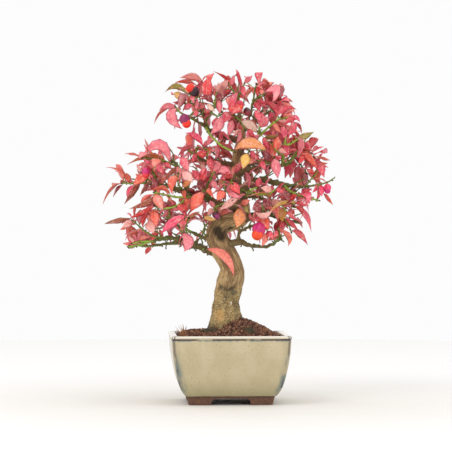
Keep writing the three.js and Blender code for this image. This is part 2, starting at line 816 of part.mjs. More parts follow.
    twigs: [[[12, -10, 196], [14, -20, 195], [15, -28, 194], [16, -32, 193]]],
    leaves: [
      [9, 29, 193.5, 16, 199, 4.5, 194],
      [8, 14, 191, 11, 179.5],
      [5, 15, 196, 22, 200, 26, 194],
      [4, 17, 193, 21, 186.5],
    ],
    facing: -0.5,
    more: 0,
    seed: 54,
  },
  {
    name: "shoot_centre_spray",
    twigs: [
      [[-14, -3, 155.5], [-17, -20, 164], [-14, -27, 172], [-11, -29, 178]],
      [[-16, -18, 162], [-21, -25, 166], [-23, -28, 171]],
    ],
    leaves: [
      [5, -24, 171, -16.5, 173.5],
      [5, -14, 170, -8.5, 163.5],
      [6, -10, 179, 2, 175.5],
      [5, -12, 177, -6, 183.5],
      [5, -20, 165, -24, 169.5],
      [6, -23, 171, -28, 178],
    ],
    facing: -0.6,
    more: 0,
    seed: 55,
  },
  {
    name: "shoot_centre_red",
    twigs: [
      [[-1, -18, 173], [-3, -27, 171], [-4, -34, 168], [-3, -36, 163]],
      [[-2, -22, 172], [2, -30, 170], [3, -34, 168]],
    ],
    leaves: [
      [6, -3, 170, -8, 165.5],
      [6, 1, 171, -2, 176.5],
      [5, 3, 175, 10.5, 184.5],
      [7, 1, 168.5, 8.5, 159.5],
      [3, 0, 167, -7, 166, -11.5, 159.5],
      [7, -3, 162, -9, 155],
      [4, -1, 160, 8.5, 157],
    ],
    facing: -0.6,
    more: 0,
    seed: 56,
  },
  {
    name: "shoot_coral",
    twigs: [
      [[-17, -4, 155], [-20, -16, 157.5], [-20, -26, 161], [-19, -29, 164]],
      [[-19, -14, 156.5], [-27, -22, 154], [-32, -25, 150]],
    ],
    leaves: [
      [10, -19, 161.5, -25, 155, -29, 146.5],
      [4, -18, 161.5, -14, 162, -12, 156],
      [5, -20, 162, -24.5, 168.5],
      [5, -31, 151, -37.5, 146.5],
      [5, -31, 150.5, -33, 157],
    ],
    facing: -0.6,
    more: 0,
    seed: 57,
  },
  {
    name: "shoot_low_centre",
    twigs: [
      [[-10, -17, 145.5], [-11, -25, 149], [-6, -29, 152], [2, -32, 155]],
      [[-10, -20, 147], [-15, -25, 144], [-19, -27, 142]],
      [[-2, -30.5, 153.7], [3, -30, 152.5], [7.5, -27, 150]],
    ],
    leaves: [
      [10, 7.5, 149.5, 8, 142, 6, 134],
      [4, 11, 151, 15, 145.5],
      [5, 9, 151, 16, 155],
      [6, 7, 157, 0, 153, -7.5, 147.5],
      [4, -11, 149, -14.5, 155],
      [5, -11, 148, -16.5, 143.5],
      [4, -19.5, 141.5, -9.5, 140],
    ],
    facing: -0.5,
    more: 0,
    seed: 61,
  },
  {
    name: "shoot_trunk_leaf",
    twigs: [[[-19, -4, 118], [-20, -11, 117.5], [-18.5, -14, 117.5]]],
    leaves: [[7.5, -17.5, 117.5, -3, 112, 4, 96.5]],
    facing: -0.2,
    more: 0,
    seed: 63,
  },
  {
    name: "shoot_right_centre",
    twigs: [
      [[31, -6, 181], [34, -15, 184], [35, -22, 188]],
      [[33, -12, 183], [27, -20, 184], [22, -24, 186]],
    ],
    leaves: [
      [8, 35, 187.5, 38, 172],
      [4, 23, 186, 18.5, 189.5],
      [5, 24, 185, 28, 178.5],
      [5, 33, 185, 41, 188],
      [5, 20, 187, 14, 183],
    ],
    facing: -0.5,
    more: 0,
    seed: 71,
  },
  {
    name: "shoot_right_upper",
    twigs: [
      [[46, -8, 183.5], [52, -7, 190], [56, -6, 196], [59, -5, 202]],
      [[51, -7, 189], [58, -6, 190], [65, -4, 188.5]],
    ],
    leaves: [
      [6, 53, 191, 61, 189, 67.5, 178.5],
      [2, 56, 195, 66, 193],
      [2, 66, 188.5, 78, 185.5],
      [4, 58, 199, 63, 193.5],
      [5, 58, 190, 54, 183],
    ],
    facing: -0.5,
    more: 0,
    seed: 72,
  },
  {
    name: "shoot_right_tip",
    twigs: [
      [[60, 0, 165.6], [68, 1, 167], [76, 2, 169], [81.5, 3, 172.5]],
      [[59, -1, 166], [63, -2, 171], [68, -2, 177], [69, -1, 184]],
    ],
    leaves: [
      [7, 67, 186, 73.5, 172.5],
      [5, 71, 167, 71.5, 158],
      [3, 69, 165, 68, 154],
      [3, 73, 160, 80.5, 151.5],
      [3, 68, 167, 65, 161],
      [2, 69, 184, 75.5, 183],
      [4, 66, 175, 60, 179],
    ],
    facing: -0.5,
    more: 0,
    seed: 73,
  },
  {
    name: "shoot_right_low",
    twigs: [
      [[42, -4.5, 167], [48, -7, 161.5], [57, -8, 158], [69, -8, 155]],
      [[50, -7.3, 161], [49, -13, 155], [50, -15, 151.5]],
    ],
    leaves: [
      [5, 46, 155, 52.5, 159.5],
      [3, 51, 152.5, 61.5, 150.5],
      [3.5, 50, 151, 57.5, 147, 54.5, 140.5],
      [5, 58, 158, 62, 164],
      [4, 62, 157, 59, 151.5],
    ],
    facing: -0.5,
    more: 2,
    seed: 74,
  },
  {
    name: "shoot_right_front",
    twigs: [
      [[27, -19, 156], [34, -25, 154], [40, -27, 151.5], [45, -27, 146]],
      [[29, -21, 155], [25, -27, 152], [27, -30, 147]],
    ],
    leaves: [
      [3.5, 31, 145, 40, 153, 51.5, 151.5],
      [5, 33, 151, 38.5, 155.5],
      [4, 41, 155, 48.5, 154],
      [3, 44, 146, 52.5, 139.5],
      [8, 26, 151, 19, 147.5],
      [7, 27, 150, 33, 156],
      [5, 20, 147, 26, 143, 33.5, 147],
    ],
    facing: -0.5,
    more: 0,
    seed: 75,
  },
  {
    name: "shoot_right_arch",
    twigs: [
      [[14, -7, 158.5], [15, -18, 161], [17, -26, 163], [22, -29, 165]],
      [[16, -22, 162], [22, -27, 160], [30, -29, 160], [36, -29, 163.5]],
    ],
    leaves: [
      [3.5, 8, 164, 16, 168.5, 24.5, 162.5],
      [6, 33, 162, 25.5, 164.5],
      [2.5, 33.5, 157.5, 24, 161, 14, 156.5],
      [5, 22, 165, 24, 172.5],
      [4, 36, 163, 43, 161],
    ],
    facing: -0.5,
    more: 0,
    seed: 76,
  },
  {
    name: "shoot_low_right_pink",
    twigs: [
      [[32, -3.6, 143.6], [37, -10, 144], [41, -14, 142], [46, -16, 136], [48, -16, 131]],
    ],
    leaves: [
      [5, 33, 145.5, 41, 141, 44.5, 132.5],
      [4, 42, 141, 48, 138, 52.5, 131.5],
      [8, 40, 148.5, 41, 138.5],
      [5, 48, 131.5, 55, 130, 60, 120.5],
    ],
    facing: -0.5,
    more: 0,
    seed: 81,
  },
  {
    name: "shoot_low_right_tip",
    twigs: [
      [[36, -12.8, 123], [39, -16, 127], [39, -19, 131], [38, -20, 134]],
    ],
    leaves: [
      [4.5, 38, 133.5, 46.5, 127, 45.5, 119.5],
      [4, 38, 131, 34.5, 126.5],
      [5, 39, 128, 30, 124],
    ],
    facing: -0.5,
    more: 0,
    seed: 82,
  },
  {
    name: "shoot_low_right_mid",
    twigs: [
      [[19, -15, 135.8], [24, -20, 138.5], [27, -23, 141], [28, -24, 143]],
      [[24, -19, 138], [29, -22, 133], [30, -23, 129]],
    ],
    leaves: [
      [9, 24, 142, 30.5, 132.5],
      [5, 29, 130, 26, 119.5],
      [5, 29, 131, 34, 125.5],
      [3, 20, 137, 15.5, 145],
      [5, 25, 140, 19.5, 140],
    ],
    facing: -0.5,
    more: 0,
    seed: 83,
  },
  {
    name: "shoot_back_low_left",
    twigs: [
      [[-28, 32, 130.5], [-37, 40, 135], [-46, 45, 139], [-54, 46, 145]],
      [[-37, 39, 135], [-34, 47, 140], [-36, 52, 147]],
      [[-46, 45, 139], [-52, 38, 134], [-58, 28, 133]],
    ],
    leaves: [],
    facing: 0.6,
    more: 12,
    seed: 91,
  },
  {
    name: "shoot_back_low",
    twigs: [
      [[-10, 40, 131], [-9, 48, 135], [-5, 52, 141], [-4, 52, 148]],
      [[-10, 43, 132], [-18, 50, 136], [-22, 52, 143]],
      [[-9, 48, 135], [2, 50, 134], [12, 48, 132]],
    ],
    leaves: [],
    facing: 0.6,
    more: 12,
    seed: 92,
  },
  {
    name: "shoot_back_low_right",
    twigs: [
      [[30, 35.5, 148], [39, 42, 152], [47, 44, 158], [54, 40, 164]],
      [[38, 41, 151], [34, 50, 155], [26, 53, 160]],
      [[39, 42, 152], [48, 36, 150], [56, 26, 150]],
    ],
    leaves: [],
    facing: 0.6,
    more: 12,
    seed: 93,
  },
  {
    name: "shoot_back_left",
    twigs: [
      [[-28, 33, 174.5], [-38, 38, 178], [-50, 38, 181], [-60, 32, 182]],
      [[-36, 37, 177], [-34, 46, 182], [-28, 50, 188]],
      [[-38, 38, 178], [-46, 30, 172], [-56, 20, 170]],
    ],
    leaves: [],
    facing: 0.6,
    more: 12,
    seed: 94,
  },
  {
    name: "shoot_back_middle",
    twigs: [
      [[7.5, 42, 179], [5, 49, 184], [-2, 52, 190], [-4, 50, 198]],
      [[6, 47, 182], [14, 53, 182], [20, 54, 177]],
      [[6, 47, 182], [-8, 46, 178], [-20, 42, 176]],
    ],
    leaves: [],
    facing: 0.6,
    more: 12,
    seed: 95,
  },
  {
    name: "shoot_back_right",
    twigs: [
      [[39, 28, 188], [48, 31, 191], [57, 28, 193], [64, 20, 191]],
      [[45, 31, 190], [42, 39, 196], [36, 42, 202]],
      [[48, 31, 191], [54, 22, 184], [60, 14, 176]],
    ],
    leaves: [],
    facing: 0.6,
    more: 12,
    seed: 96,
  },
  {
    name: "shoot_back_top",
    twigs: [
      [[-5, 27, 223], [-11, 32, 229], [-16, 32, 236], [-16, 28, 243]],
      [[-9, 31, 227], [-4, 36, 234], [2, 36, 240]],
      [[-9, 31, 227], [-20, 26, 222], [-28, 16, 218]],
    ],
    leaves: [],
    facing: 0.6,
    more: 12,
    seed: 97,
  },
  {
    name: "shoot_back_top_right",
    twigs: [
      [[24.5, 23.5, 222], [28, 27, 229], [27, 27, 237], [22, 22, 244]],
      [[27, 26, 226], [34, 26, 230], [40, 22, 232]],
      [[28, 27, 229], [36, 18, 222], [42, 12, 214]],
    ],
    leaves: [],
    facing: 0.6,
    more: 12,
    seed: 98,
  },
];

// Repeatable chance: the same draws in the same order for a seed.
function chance(seed) {
  let state = seed * 7919;
  return () => {
    state = (state * 16807) % 2147483647;
    return state / 2147483647;
  };
}

// The nearest place on the twigs to where a leaf's base looks to be.
function carrier(twigs, x, z) {
  let best = null;
  for (const places of twigs) {
    for (let k = 0; k < places.length - 1; k++) {
      const [ax, ay, az] = places[k];
      const [bx, by, bz] = places[k + 1];
      const run = (bx - ax) ** 2 + (bz - az) ** 2;
      const t = THREE.MathUtils.clamp(((x - ax) * (bx - ax) + (z - az) * (bz - az)) / run, 0, 1);
      const near = [ax + (bx - ax) * t, ay + (by - ay) * t, az + (bz - az) * t];
      const far = Math.hypot(x - near[0], z - near[2]);
      if (!best || far < best.far) best = { far, near };
    }
  }
  return best.near;
}

// A leaf as it looks from the front: its stalk leaves the twig, and the blade is turned
// about its own length until it looks as wide as it should.
function frontLeaf(shoot, [width, ...places]) {
  const [baseX, baseZ] = places;
  const [tipX, tipZ] = places.slice(-2);
  const bend = places.length === 6 ? places.slice(2, 4) : null;
  const root = carrier(shoot.twigs, baseX, baseZ);
  const looks = Math.hypot(tipX - baseX, tipZ - baseZ);
  const lean = shoot.facing * Math.sqrt(Math.max(0, LEAF_LENGTH ** 2 - looks ** 2));
  const base = seen(baseX, root[1], baseZ);
  const tip = seen(tipX, root[1] + lean, tipZ);
  const middle = bend
    ? seen(bend[0], root[1] + lean / 2, bend[1])
    : base.clone().lerp(tip, 0.5).addScaledVector(UP, looks * LEAF_ARCH);
  const along = tip.clone().sub(base).normalize();
  const full = Math.max(width, LEAF_SHAPE * Math.min(base.distanceTo(tip), LEAF_LENGTH));
  const roll = Math.acos(Math.min(1, width / full));
  const face = TO_EYE.clone().addScaledVector(along, -TO_EYE.dot(along)).normalize();
  const side = new THREE.Vector3().crossVectors(along, face);
  face.applyAxisAngle(along, side.z > 0 ? -roll : roll);
  return { root: seen(...root), base, middle, tip, face, width: full };
}

// A leaf that grows from a twig in its natural place: in pairs, each pair crossing the last.
function grownLeaf(curve, index, count, next) {
  const t = 0.2 + (0.8 * (index + 0.5)) / count;
  const root = curve.getPoint(t);
  const along = curve.getTangent(t);
  const turn = (index % 2) * Math.PI + Math.floor(index / 2) * (Math.PI / 2) + (next() - 0.5);
  const side = new THREE.Vector3().crossVectors(along, UP).normalize();
  side.applyAxisAngle(along, turn);
  const reach = along.clone().multiplyScalar(0.5).add(side);
  reach.z += 0.15;
  reach.normalize();
  const length = LEAF_LENGTH * (0.75 + 0.4 * next());
  const droop = 0.1 + 0.35 * next();
  const base = root.clone().addScaledVector(reach, STALK_LENGTH);
  const middle = base.clone().addScaledVector(reach, length / 2);
  middle.addScaledVector(UP, length * LEAF_ARCH);
  const tip = base.clone().addScaledVector(reach, length * 0.94).addScaledVector(UP, -length * droop);
  const face = UP.clone().addScaledVector(reach, -UP.dot(reach) + 0.1 * (next() - 0.5));
  const across = new THREE.Vector3().crossVectors(reach, face).normalize();
  face.addScaledVector(across, next() - 0.5).normalize();
  return { root, base, middle, tip, face, width: LEAF_SHAPE * length };
}

// A leaf's solid: a stalk and a blade with a keel below, pointed at the tip.
function leafSolid({ root, base, middle, tip, face, width }, grow = 0) {
  const curve = new THREE.QuadraticBezierCurve3(
    base,
    middle.clone().multiplyScalar(2).addScaledVector(base, -0.5).addScaledVector(tip, -0.5),
    tip,
  );
  const along = tip.clone().sub(root).normalize();
  const across = new THREE.Vector3().crossVectors(along, face).normalize();
  const up = new THREE.Vector3().crossVectors(across, along);
  const section = (centre, half, thick) => {
    const corner = (aside, above) => {
      return centre.clone().addScaledVector(across, aside).addScaledVector(up, above);
    };
    const more = EDGE_ROOM * grow;
    const edge = half + more;
    const ring = [corner(-edge, thick / 2), corner(edge, thick / 2), corner(0, -thick / 2 - more)];
    if (grow) ring.splice(1, 0, corner(0, thick / 2 + more));
    return ring;
  };
  const end = (place, further) => {
    const there = place.clone().addScaledVector(along, further);
    return grow ? section(there, 0, 0) : [there];
  };
  const rings = [];
  if (root.distanceTo(base) > LONG_STALK) {
    rings.push(section(root, STALK, 2 * STALK));
    rings.push(section(base, STALK, 2 * STALK));
  } else {
    rings.push(end(root, -STALK - grow));
  }
  rings.push(section(curve.getPoint(LEAF_WIDEST), width / 2, LEAF_THICKNESS));
  rings.push(end(tip, grow));
  return loft(rings);
}

function twigSolids(shoot, grow = 0) {
  return shoot.twigs.map((places, index) => {
    const start = index === 0 ? TWIG : TWIG * SIDE_TWIG;
    const points = places.map((place) => seen(...place));
    return limb(points, [start, TWIG_TIP], 4, points.length - 1, grow);
  });
}

function leavesOf(shoot) {
  const leaves = shoot.leaves.map((leaf) => frontLeaf(shoot, leaf));
  const next = chance(shoot.seed);
  const curves = shoot.twigs.map(
    (places) => new THREE.CatmullRomCurve3(places.map((place) => seen(...place))),
  );
  for (let i = 0; i < shoot.more; i++) {
    const twig = curves[i % curves.length];
    const share = Math.ceil(shoot.more / curves.length);
    leaves.push(grownLeaf(twig, Math.floor(i / curves.length), share, next));
  }
  return leaves;
}

// Fruits

// Each hangs from a place on a twig: that place, the husk's centre, the bright seed's centre
// and the husk's radius.
const fruits = [
  ["fruit_top_left", [-29, -8, 235], [-26.5, -13, 239], [-30, -14, 242], 4],
  ["fruit_left_purple", [-33, -11, 220.5], [-34, -20, 217.5], [-32.2, -20, 213.5], 4],
  ["fruit_top_crimson", [2, -19, 222.5], [8.5, -25, 229], [8, -26, 226.5], 3],
  ["fruit_top_brown", [9, -19, 217], [14, -24, 224], [14.5, -25, 222], 2.7],
  ["fruit_left_magenta", [-62, -16, 171.5], [-64, -22, 177], [-64, -22, 174.5], 3.1],
  ["fruit_centre_plum", [-11, -25, 148.5], [-10, -30, 144], [-9, -31, 142.5], 2.8],
  ["fruit_low_right", [24.5, -20, 139.5], [23.2, -27, 133], [21.8, -28, 127.6], 5],
  ["fruit_right_tip", [76, 2, 169], [76, -3, 165], [76, -3.5, 162], 2.8],
];

function fruitParts([, stalk, husk, seed, size], grow = 0) {
  const ball = (centre, radius, height) => {
    const sphere = new THREE.SphereGeometry(1, 7, 5);
    sphere.rotateX(Math.PI / 2);
    sphere.scale(radius + grow, radius + grow, height + grow);
    const place = seen(...centre);
    sphere.translate(place.x, place.y, place.z);
    return solid(sphere);
  };
  return [
    limb([seen(...stalk), seen(...husk)], [0.55, 0.5], 4, 1, grow),
    ball(husk, size, size * 0.85),
    ball(seed, size * 0.75, size * 0.8),
  ];
}

// On the soil

// Moss cushions: centre x and y, radius, height.
const mossCushions = [
  ["moss_left", -17, -22, 8, 2.6],
  ["moss_right", 15, -28, 6, 2.2],
];

function mossSolid(x, y, radius, height) {
  const cushion = new THREE.SphereGeometry(1, 12, 8);
  cushion.rotateX(Math.PI / 2);
  cushion.scale(radius, radius * 0.8, height);
  const inside = 1 - (2 * Math.max(Math.abs(x), Math.abs(y))) / (RIM - 2 * WALL);
  cushion.translate(x, y, soilHeight(x, y, inside) - 0.5);
  return solid(cushion);
}

// A dry tuft of grass near the left corner: root place and where each blade ends.
const grassRoot = [-35, -30, 50];
const grassBlades = [
  [-41, -33, 58],
  [-39, -30, 61],
  [-36, -34, 59.5],
  [-33, -31, 60],
  [-37.5, -28, 62],
];

function grassSolid() {
  const root = new THREE.Vector3(...grassRoot);
  const blades = grassBlades.map((end) => {
    const tip = new THREE.Vector3(...end);
    const middle = root.clone().lerp(tip, 0.55).addScaledVector(UP, 1.2);
    return limb([root, middle, tip], [0.7, 0.55, 0.25], 4, 3);
  });
  return joined(blades);
}

// Assembly

const bark = { color: 0x8a6a4c, roughness: 0.9, metalness: 0 };
const foliage = { color: 0xd9536a, roughness: 0.55, metalness: 0 };
const part = new THREE.Group();

function add(name, body, finish) {
  const geometry = geometryOf(rounded(body));
  const mesh = new THREE.Mesh(geometry, new THREE.MeshStandardMaterial(finish));
  mesh.name = name;
  part.add(mesh);
}

const wood = joined(woodLimbs());
const woodRoom = joined(woodLimbs(GAP));
const soilRoom = makeSoil(GAP);

add("pot", makePot(), { color: 0xcdbe9a, roughness: 0.25, metalness: 0 });
add("drainage_mesh", makeMesh(), { color: 0x26302a, roughness: 0.6, metalness: 0 });
add("mesh_clip", makeClip(), { color: 0xb0764a, roughness: 0.4, metalness: 1 });
add("soil", mainBody(makeSoil().subtract(woodRoom)), { color: 0x6b3b2a, roughness: 1, metalness: 0 });
add("trunk", wood, bark);
for (const [name, ...place] of mossCushions) {
  const cushion = mainBody(mossSolid(...place).subtract(soilRoom).subtract(woodRoom));
  add(name, cushion, { color: 0x4a5a28, roughness: 1, metalness: 0 });
}
const tuft = mainBody(grassSolid().subtract(soilRoom));
add("dry_grass", tuft, { color: 0xb79a6a, roughness: 0.8, metalness: 0 });

// Twigs keep clear of the wood and of the twigs named before them.
let twigRoom = null;
for (const shoot of shoots) {
  let stems = joined(twigSolids(shoot)).subtract(woodRoom);
  if (twigRoom) stems = stems.subtract(twigRoom);
  shoot.stems = mainBody(stems);
  shoot.stemRoom = joined(twigSolids(shoot, GAP));
  twigRoom = twigRoom ? twigRoom.add(shoot.stemRoom) : shoot.stemRoom;
}

// Fruits keep clear of the wood, the twigs and each other.
let fruitRoom = null;
for (const fruit of fruits) {
  let body = joined(fruitParts(fruit)).subtract(woodRoom).subtract(twigRoom);
  if (fruitRoom) body = body.subtract(fruitRoom);
  add(fruit[0], mainBody(body), { color: 0xc62a3c, roughness: 0.35, metalness: 0 });
  const room = joined(fruitParts(fruit, GAP));
  fruitRoom = fruitRoom ? fruitRoom.add(room) : room;
}

// Leaves keep clear of all that, of the other shoots' twigs and of leaves placed before.
let leafRoom = woodRoom.add(fruitRoom);
for (const shoot of shoots) {
  const leaves = leavesOf(shoot);
  const others = shoots.filter((each) => each !== shoot).map((each) => each.stemRoom);
  const blades = joined(leaves.map((leaf) => leafSolid(leaf)));
  const clear = blades.subtract(leafRoom).subtract(joined(others));
  add(shoot.name, mainBody(shoot.stems.add(clear)), foliage);
  leafRoom = leafRoom.add(joined(leaves.map((leaf) => leafSolid(leaf, GAP))));
}

// The origin is under the middle of the whole object, on the surface it stands on.
const bounds = new THREE.Box3().setFromObject(part);
const middle = bounds.getCenter(new THREE.Vector3());
part.position.set(-middle.x, -middle.y, -bounds.min.z);

export default part;
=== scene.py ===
import math
import random
from collections import namedtuple

import bmesh
import bpy
import numpy
from mathutils import Matrix, Vector, noise
from mathutils.kdtree import KDTree


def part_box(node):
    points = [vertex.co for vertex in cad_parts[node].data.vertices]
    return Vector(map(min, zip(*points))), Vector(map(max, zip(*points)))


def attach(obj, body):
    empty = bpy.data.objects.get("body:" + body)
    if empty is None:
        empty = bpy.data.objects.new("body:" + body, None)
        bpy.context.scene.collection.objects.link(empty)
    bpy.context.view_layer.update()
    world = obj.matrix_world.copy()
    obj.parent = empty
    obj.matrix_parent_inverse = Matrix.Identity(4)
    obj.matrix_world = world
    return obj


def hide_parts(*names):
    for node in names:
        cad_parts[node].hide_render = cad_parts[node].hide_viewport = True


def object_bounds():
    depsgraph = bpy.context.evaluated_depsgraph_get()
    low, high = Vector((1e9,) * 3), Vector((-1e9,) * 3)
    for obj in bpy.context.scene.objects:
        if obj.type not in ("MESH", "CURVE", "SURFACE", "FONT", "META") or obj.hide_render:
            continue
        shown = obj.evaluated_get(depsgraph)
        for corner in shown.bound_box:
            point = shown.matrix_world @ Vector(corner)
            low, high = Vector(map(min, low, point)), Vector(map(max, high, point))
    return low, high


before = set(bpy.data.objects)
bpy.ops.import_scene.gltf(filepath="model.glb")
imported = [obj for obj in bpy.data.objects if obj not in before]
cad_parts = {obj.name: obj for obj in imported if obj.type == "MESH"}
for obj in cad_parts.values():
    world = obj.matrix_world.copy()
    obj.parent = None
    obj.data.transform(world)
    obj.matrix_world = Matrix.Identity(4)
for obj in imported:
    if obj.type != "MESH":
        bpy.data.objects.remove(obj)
cad_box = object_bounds()

# Shapes are modelled in millimetres from the middle of the pot's foot, then settled into
# the frame, which is in metres. The tree's front looks three degrees from -Y towards -X.
MM = 0.001
FULL_TURN = 6.28  # radians, near enough for a turn drawn by chance
pot_low, pot_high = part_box("pot")
POT_PLACE = Vector(((pot_low.x + pot_high.x) / 2, (pot_low.y + pot_high.y) / 2, 0))
TURN = math.radians(-3)
UP = Vector((0, 0, 1))
TO_EYE = Matrix.Rotation(TURN, 3, "Z") @ Vector((0, -1, 0))

# The eye's place in front of the tree. A place further back lies wider than it looks.
EYE_DISTANCE = 1650
EYE_X = -2.16
EYE_Z = 135.3
VIEW_WIDTH = 348  # millimetres across the picture at the pot's middle
SENSOR = 36

# Pot
RIM = 91
FOOT = RIM - 27.3
POT_HEIGHT = 52.5
LIP_HEIGHT = 2.9
CORNER = 5
WALL = 5
MOUTH = RIM - 2 * WALL
GLAZE_EDGE = 6.6  # the glaze ends here, above the bare feet
RECESS = 6
RECESS_WIDTH = 43
FLOOR_TOP = 10
ARCH_WIDTH = 30
ARCH_HEIGHT = 4.9
ARCH_SHOULDER = 3.6
DRAIN_RADIUS = 8

# Soil
SOIL_EDGE = 50.6
SOIL_LEVEL = 54.3
MOUND = 10.3
MOUND_X = 8
MOUND_Y = -5
MOUND_SPREAD = 13
HOLLOW = MOUTH - 2  # width of the soil's top
SOIL_TAPER = 0.72
GRANULE_PITCH = 1.25
GRANULES = (0.55, 0.75, 0.85, 0.95, 1.2)

# Twigs and leaves
TWIG = 0.9
TWIG_TIP = 0.6
SIDE_TWIG = 0.85
LEAF_LENGTH = 17
LEAF_SHAPE = 0.42
LEAF_ARCH = 0.08
LEAF_ROWS = 8
LEAF_THICKNESS = 0.3
STALK_LENGTH = 1.5
STALK_RADII = [0.36, 0.3, 0.28, 0.27, 0.25]

Shoot = namedtuple("Shoot", "twigs leaves facing more seed")
Leaf = namedtuple("Leaf", "root base middle tip face width tone seed")

# The trunk's centre line as it looks from the front: x, depth y, z and radius.
TRUNK_LINE = [
    (-2, 0, 44, 11), (-2, 0, 50, 14), (-2.2, 0, 57, 14.2), (-2, 0, 62, 13), (-2.4, 0, 70, 11),
    (-1.8, -1, 79, 9.9), (-0.2, -1, 86, 10.4), (0.6, 0, 91, 9.9), (2.4, 1, 98, 9.8),
    (2.4, 1, 103, 8.8), (-0.6, 0, 110, 9.4), (-4.6, -1, 117, 9.6), (-8, -2, 124, 8.8),
    (-9, -2, 130, 8), (-5.5, -1.5, 136, 7.6), (1, 0, 138.5, 7.2), (8, 1.5, 141, 6.8),
    (11, 3, 147, 5.8), (9.5, 4, 155, 5), (6.5, 4, 165, 4.5), (5.5, 4, 175, 4.3), (6, 4, 184, 4.1),
    (8, 3, 194, 4), (9.5, 3, 206, 3.5), (8, 2, 216, 2.6),
]
TRUNK_STEPS = 150
BRANCHES = [
    (4, 2.6, (-4, -2, 113), (-14, -3, 115.5), (-21, -4, 118.5), (-27, -5, 120.5)),
    (3.2, 1.2, (-25, -5, 120), (-32, -6, 122), (-41, -8, 125.5), (-51, -9, 125.5), (-60, -9, 122.5)),
    (2.4, 1, (-27, -5, 120), (-38, -2, 122.5), (-48, 2, 121.5), (-60, 6, 120)),
    (1, 0.7, (-27, -6, 122), (-23, -7, 125.5), (-16, -8, 128)),
    (3, 1.8, (0, -6, 122), (7, -8, 122.5), (10, -8, 123.3), (13, -9, 121.3), (20, -10, 120)),
    (1.8, 1, (19, -10, 120), (26, -11, 119.5), (31, -12, 120.3), (37, -13, 123.4), (41, -13, 126)),
    (1.7, 0.9, (7, -8, 122), (8, -9, 130), (10, -11, 132), (16, -14, 135), (22, -16, 136)),
    (3.8, 2.4, (9, 3, 149.5), (-1, 1, 151), (-9, 0, 153), (-18, -3, 156), (-28, -5, 159), (-38, -5, 163)),
    (2.6, 1, (-37, -5, 162.5), (-46, -4, 165.5), (-56, -2, 167), (-66, 0, 168.5)),
    (2.2, 1, (-29, -5, 159.5), (-34, -4, 169), (-38, -2, 179), (-44, 0, 186)),
    (3.4, 2.2, (7, 4, 159), (15, 1, 166.5), (25, -3, 171), (35, -5, 168.5)),
    (2.4, 1, (34, -5, 168.5), (45, -4, 167), (55, -2, 166), (62, 0, 165.5)),
    (2.6, 1, (5, 3, 175), (18, -2, 179.5), (31, -6, 181), (41, -8, 181.5), (48, -8, 184)),
    (3.2, 1, (9, 1, 141), (21, -1, 142.5), (34, -4, 143.5), (46, -5, 139.5), (56, -5, 138)),
    (2.6, 1, (6, 4, 182), (-3, 1, 184), (-11, -1, 184.5), (-20, -4, 186), (-27, -6, 190)),
    (3, 1.8, (9, 3, 200), (0, 1, 203.5), (-9, -1, 206), (-17, -2, 211), (-18, -3, 219)),
    (1.8, 0.9, (-18, -3, 218), (-21, -3, 224), (-26, -3, 232)),
    (1.6, 0.9, (-17, -2, 212), (-24, -5, 215.5), (-30, -7, 219)),
    (2.2, 0.9, (9, 3, 206), (16, 2, 213), (24, 0, 219), (32, -2, 224)),
    (1.6, 0.9, (14, 2, 212), (17, 1, 222), (18.5, 1, 231)),
    (2.4, 0.9, (8, 2, 214), (8, 2, 223), (6.5, 1, 231), (8, 0, 238)),
    (1.8, 0.9, (9, 2, 191), (11, -8, 194), (14, -12, 198), (18, -15, 201)),
    (2.6, 1, (-7, 4, 121), (-14, 16, 124), (-23, 28, 128), (-32, 37, 132)),
    (2.4, 1, (-8, 4, 128), (-10, 16, 130), (-12, 30, 130), (-10, 42, 131)),
    (2.8, 1, (9, 4, 142), (16, 20, 143), (26, 32, 146), (35, 40, 150)),
    (2.6, 1, (6, 5, 163), (-7, 18, 168), (-22, 29, 172), (-33, 36, 176)),
    (2.6, 1, (4, 6, 171), (7, 20, 175), (9, 34, 177), (7, 45, 180)),
    (2.4, 1, (6, 5, 180), (19, 15, 184), (32, 24, 186), (43, 30, 189)),
    (2, 0.9, (9, 4, 203), (5, 14, 211), (-2, 23, 219), (-7, 29, 225)),
    (2, 0.9, (9, 4, 208), (16, 13, 214), (22, 20, 219), (26, 25, 224)),
    (2.4, 1, (-5, -4, 139), (-9, -14, 144), (-11, -21, 147)),
    (2.2, 1, (9, 2, 153), (7, -14, 158), (4, -26, 160)),
    (2.2, 1, (6, 2, 169), (2, -12, 172), (-3, -24, 174)),
    (2.4, 1, (8, 2, 158), (18, -10, 158), (28, -20, 156)),
    (2, 0.9, (8, 1, 215), (5, -8, 219), (3, -15, 222)),
]
ROOTS = [
    (4.5, 2, (-8, -5, 62), (-12.5, -8, 56), (-15, -10, 48)),
    (4, 2, (-4, -10, 61), (-6, -16, 56), (-7, -19, 49)),
    (3.6, 2, (5, -6, 60), (11, -10, 55), (15, -13, 48)),
    (3.6, 2, (6, 6, 62), (12, 10, 57), (15, 12, 49)),
    (4, 2, (-8, 8, 62), (-13, 14, 56), (-16, 17, 48)),
]
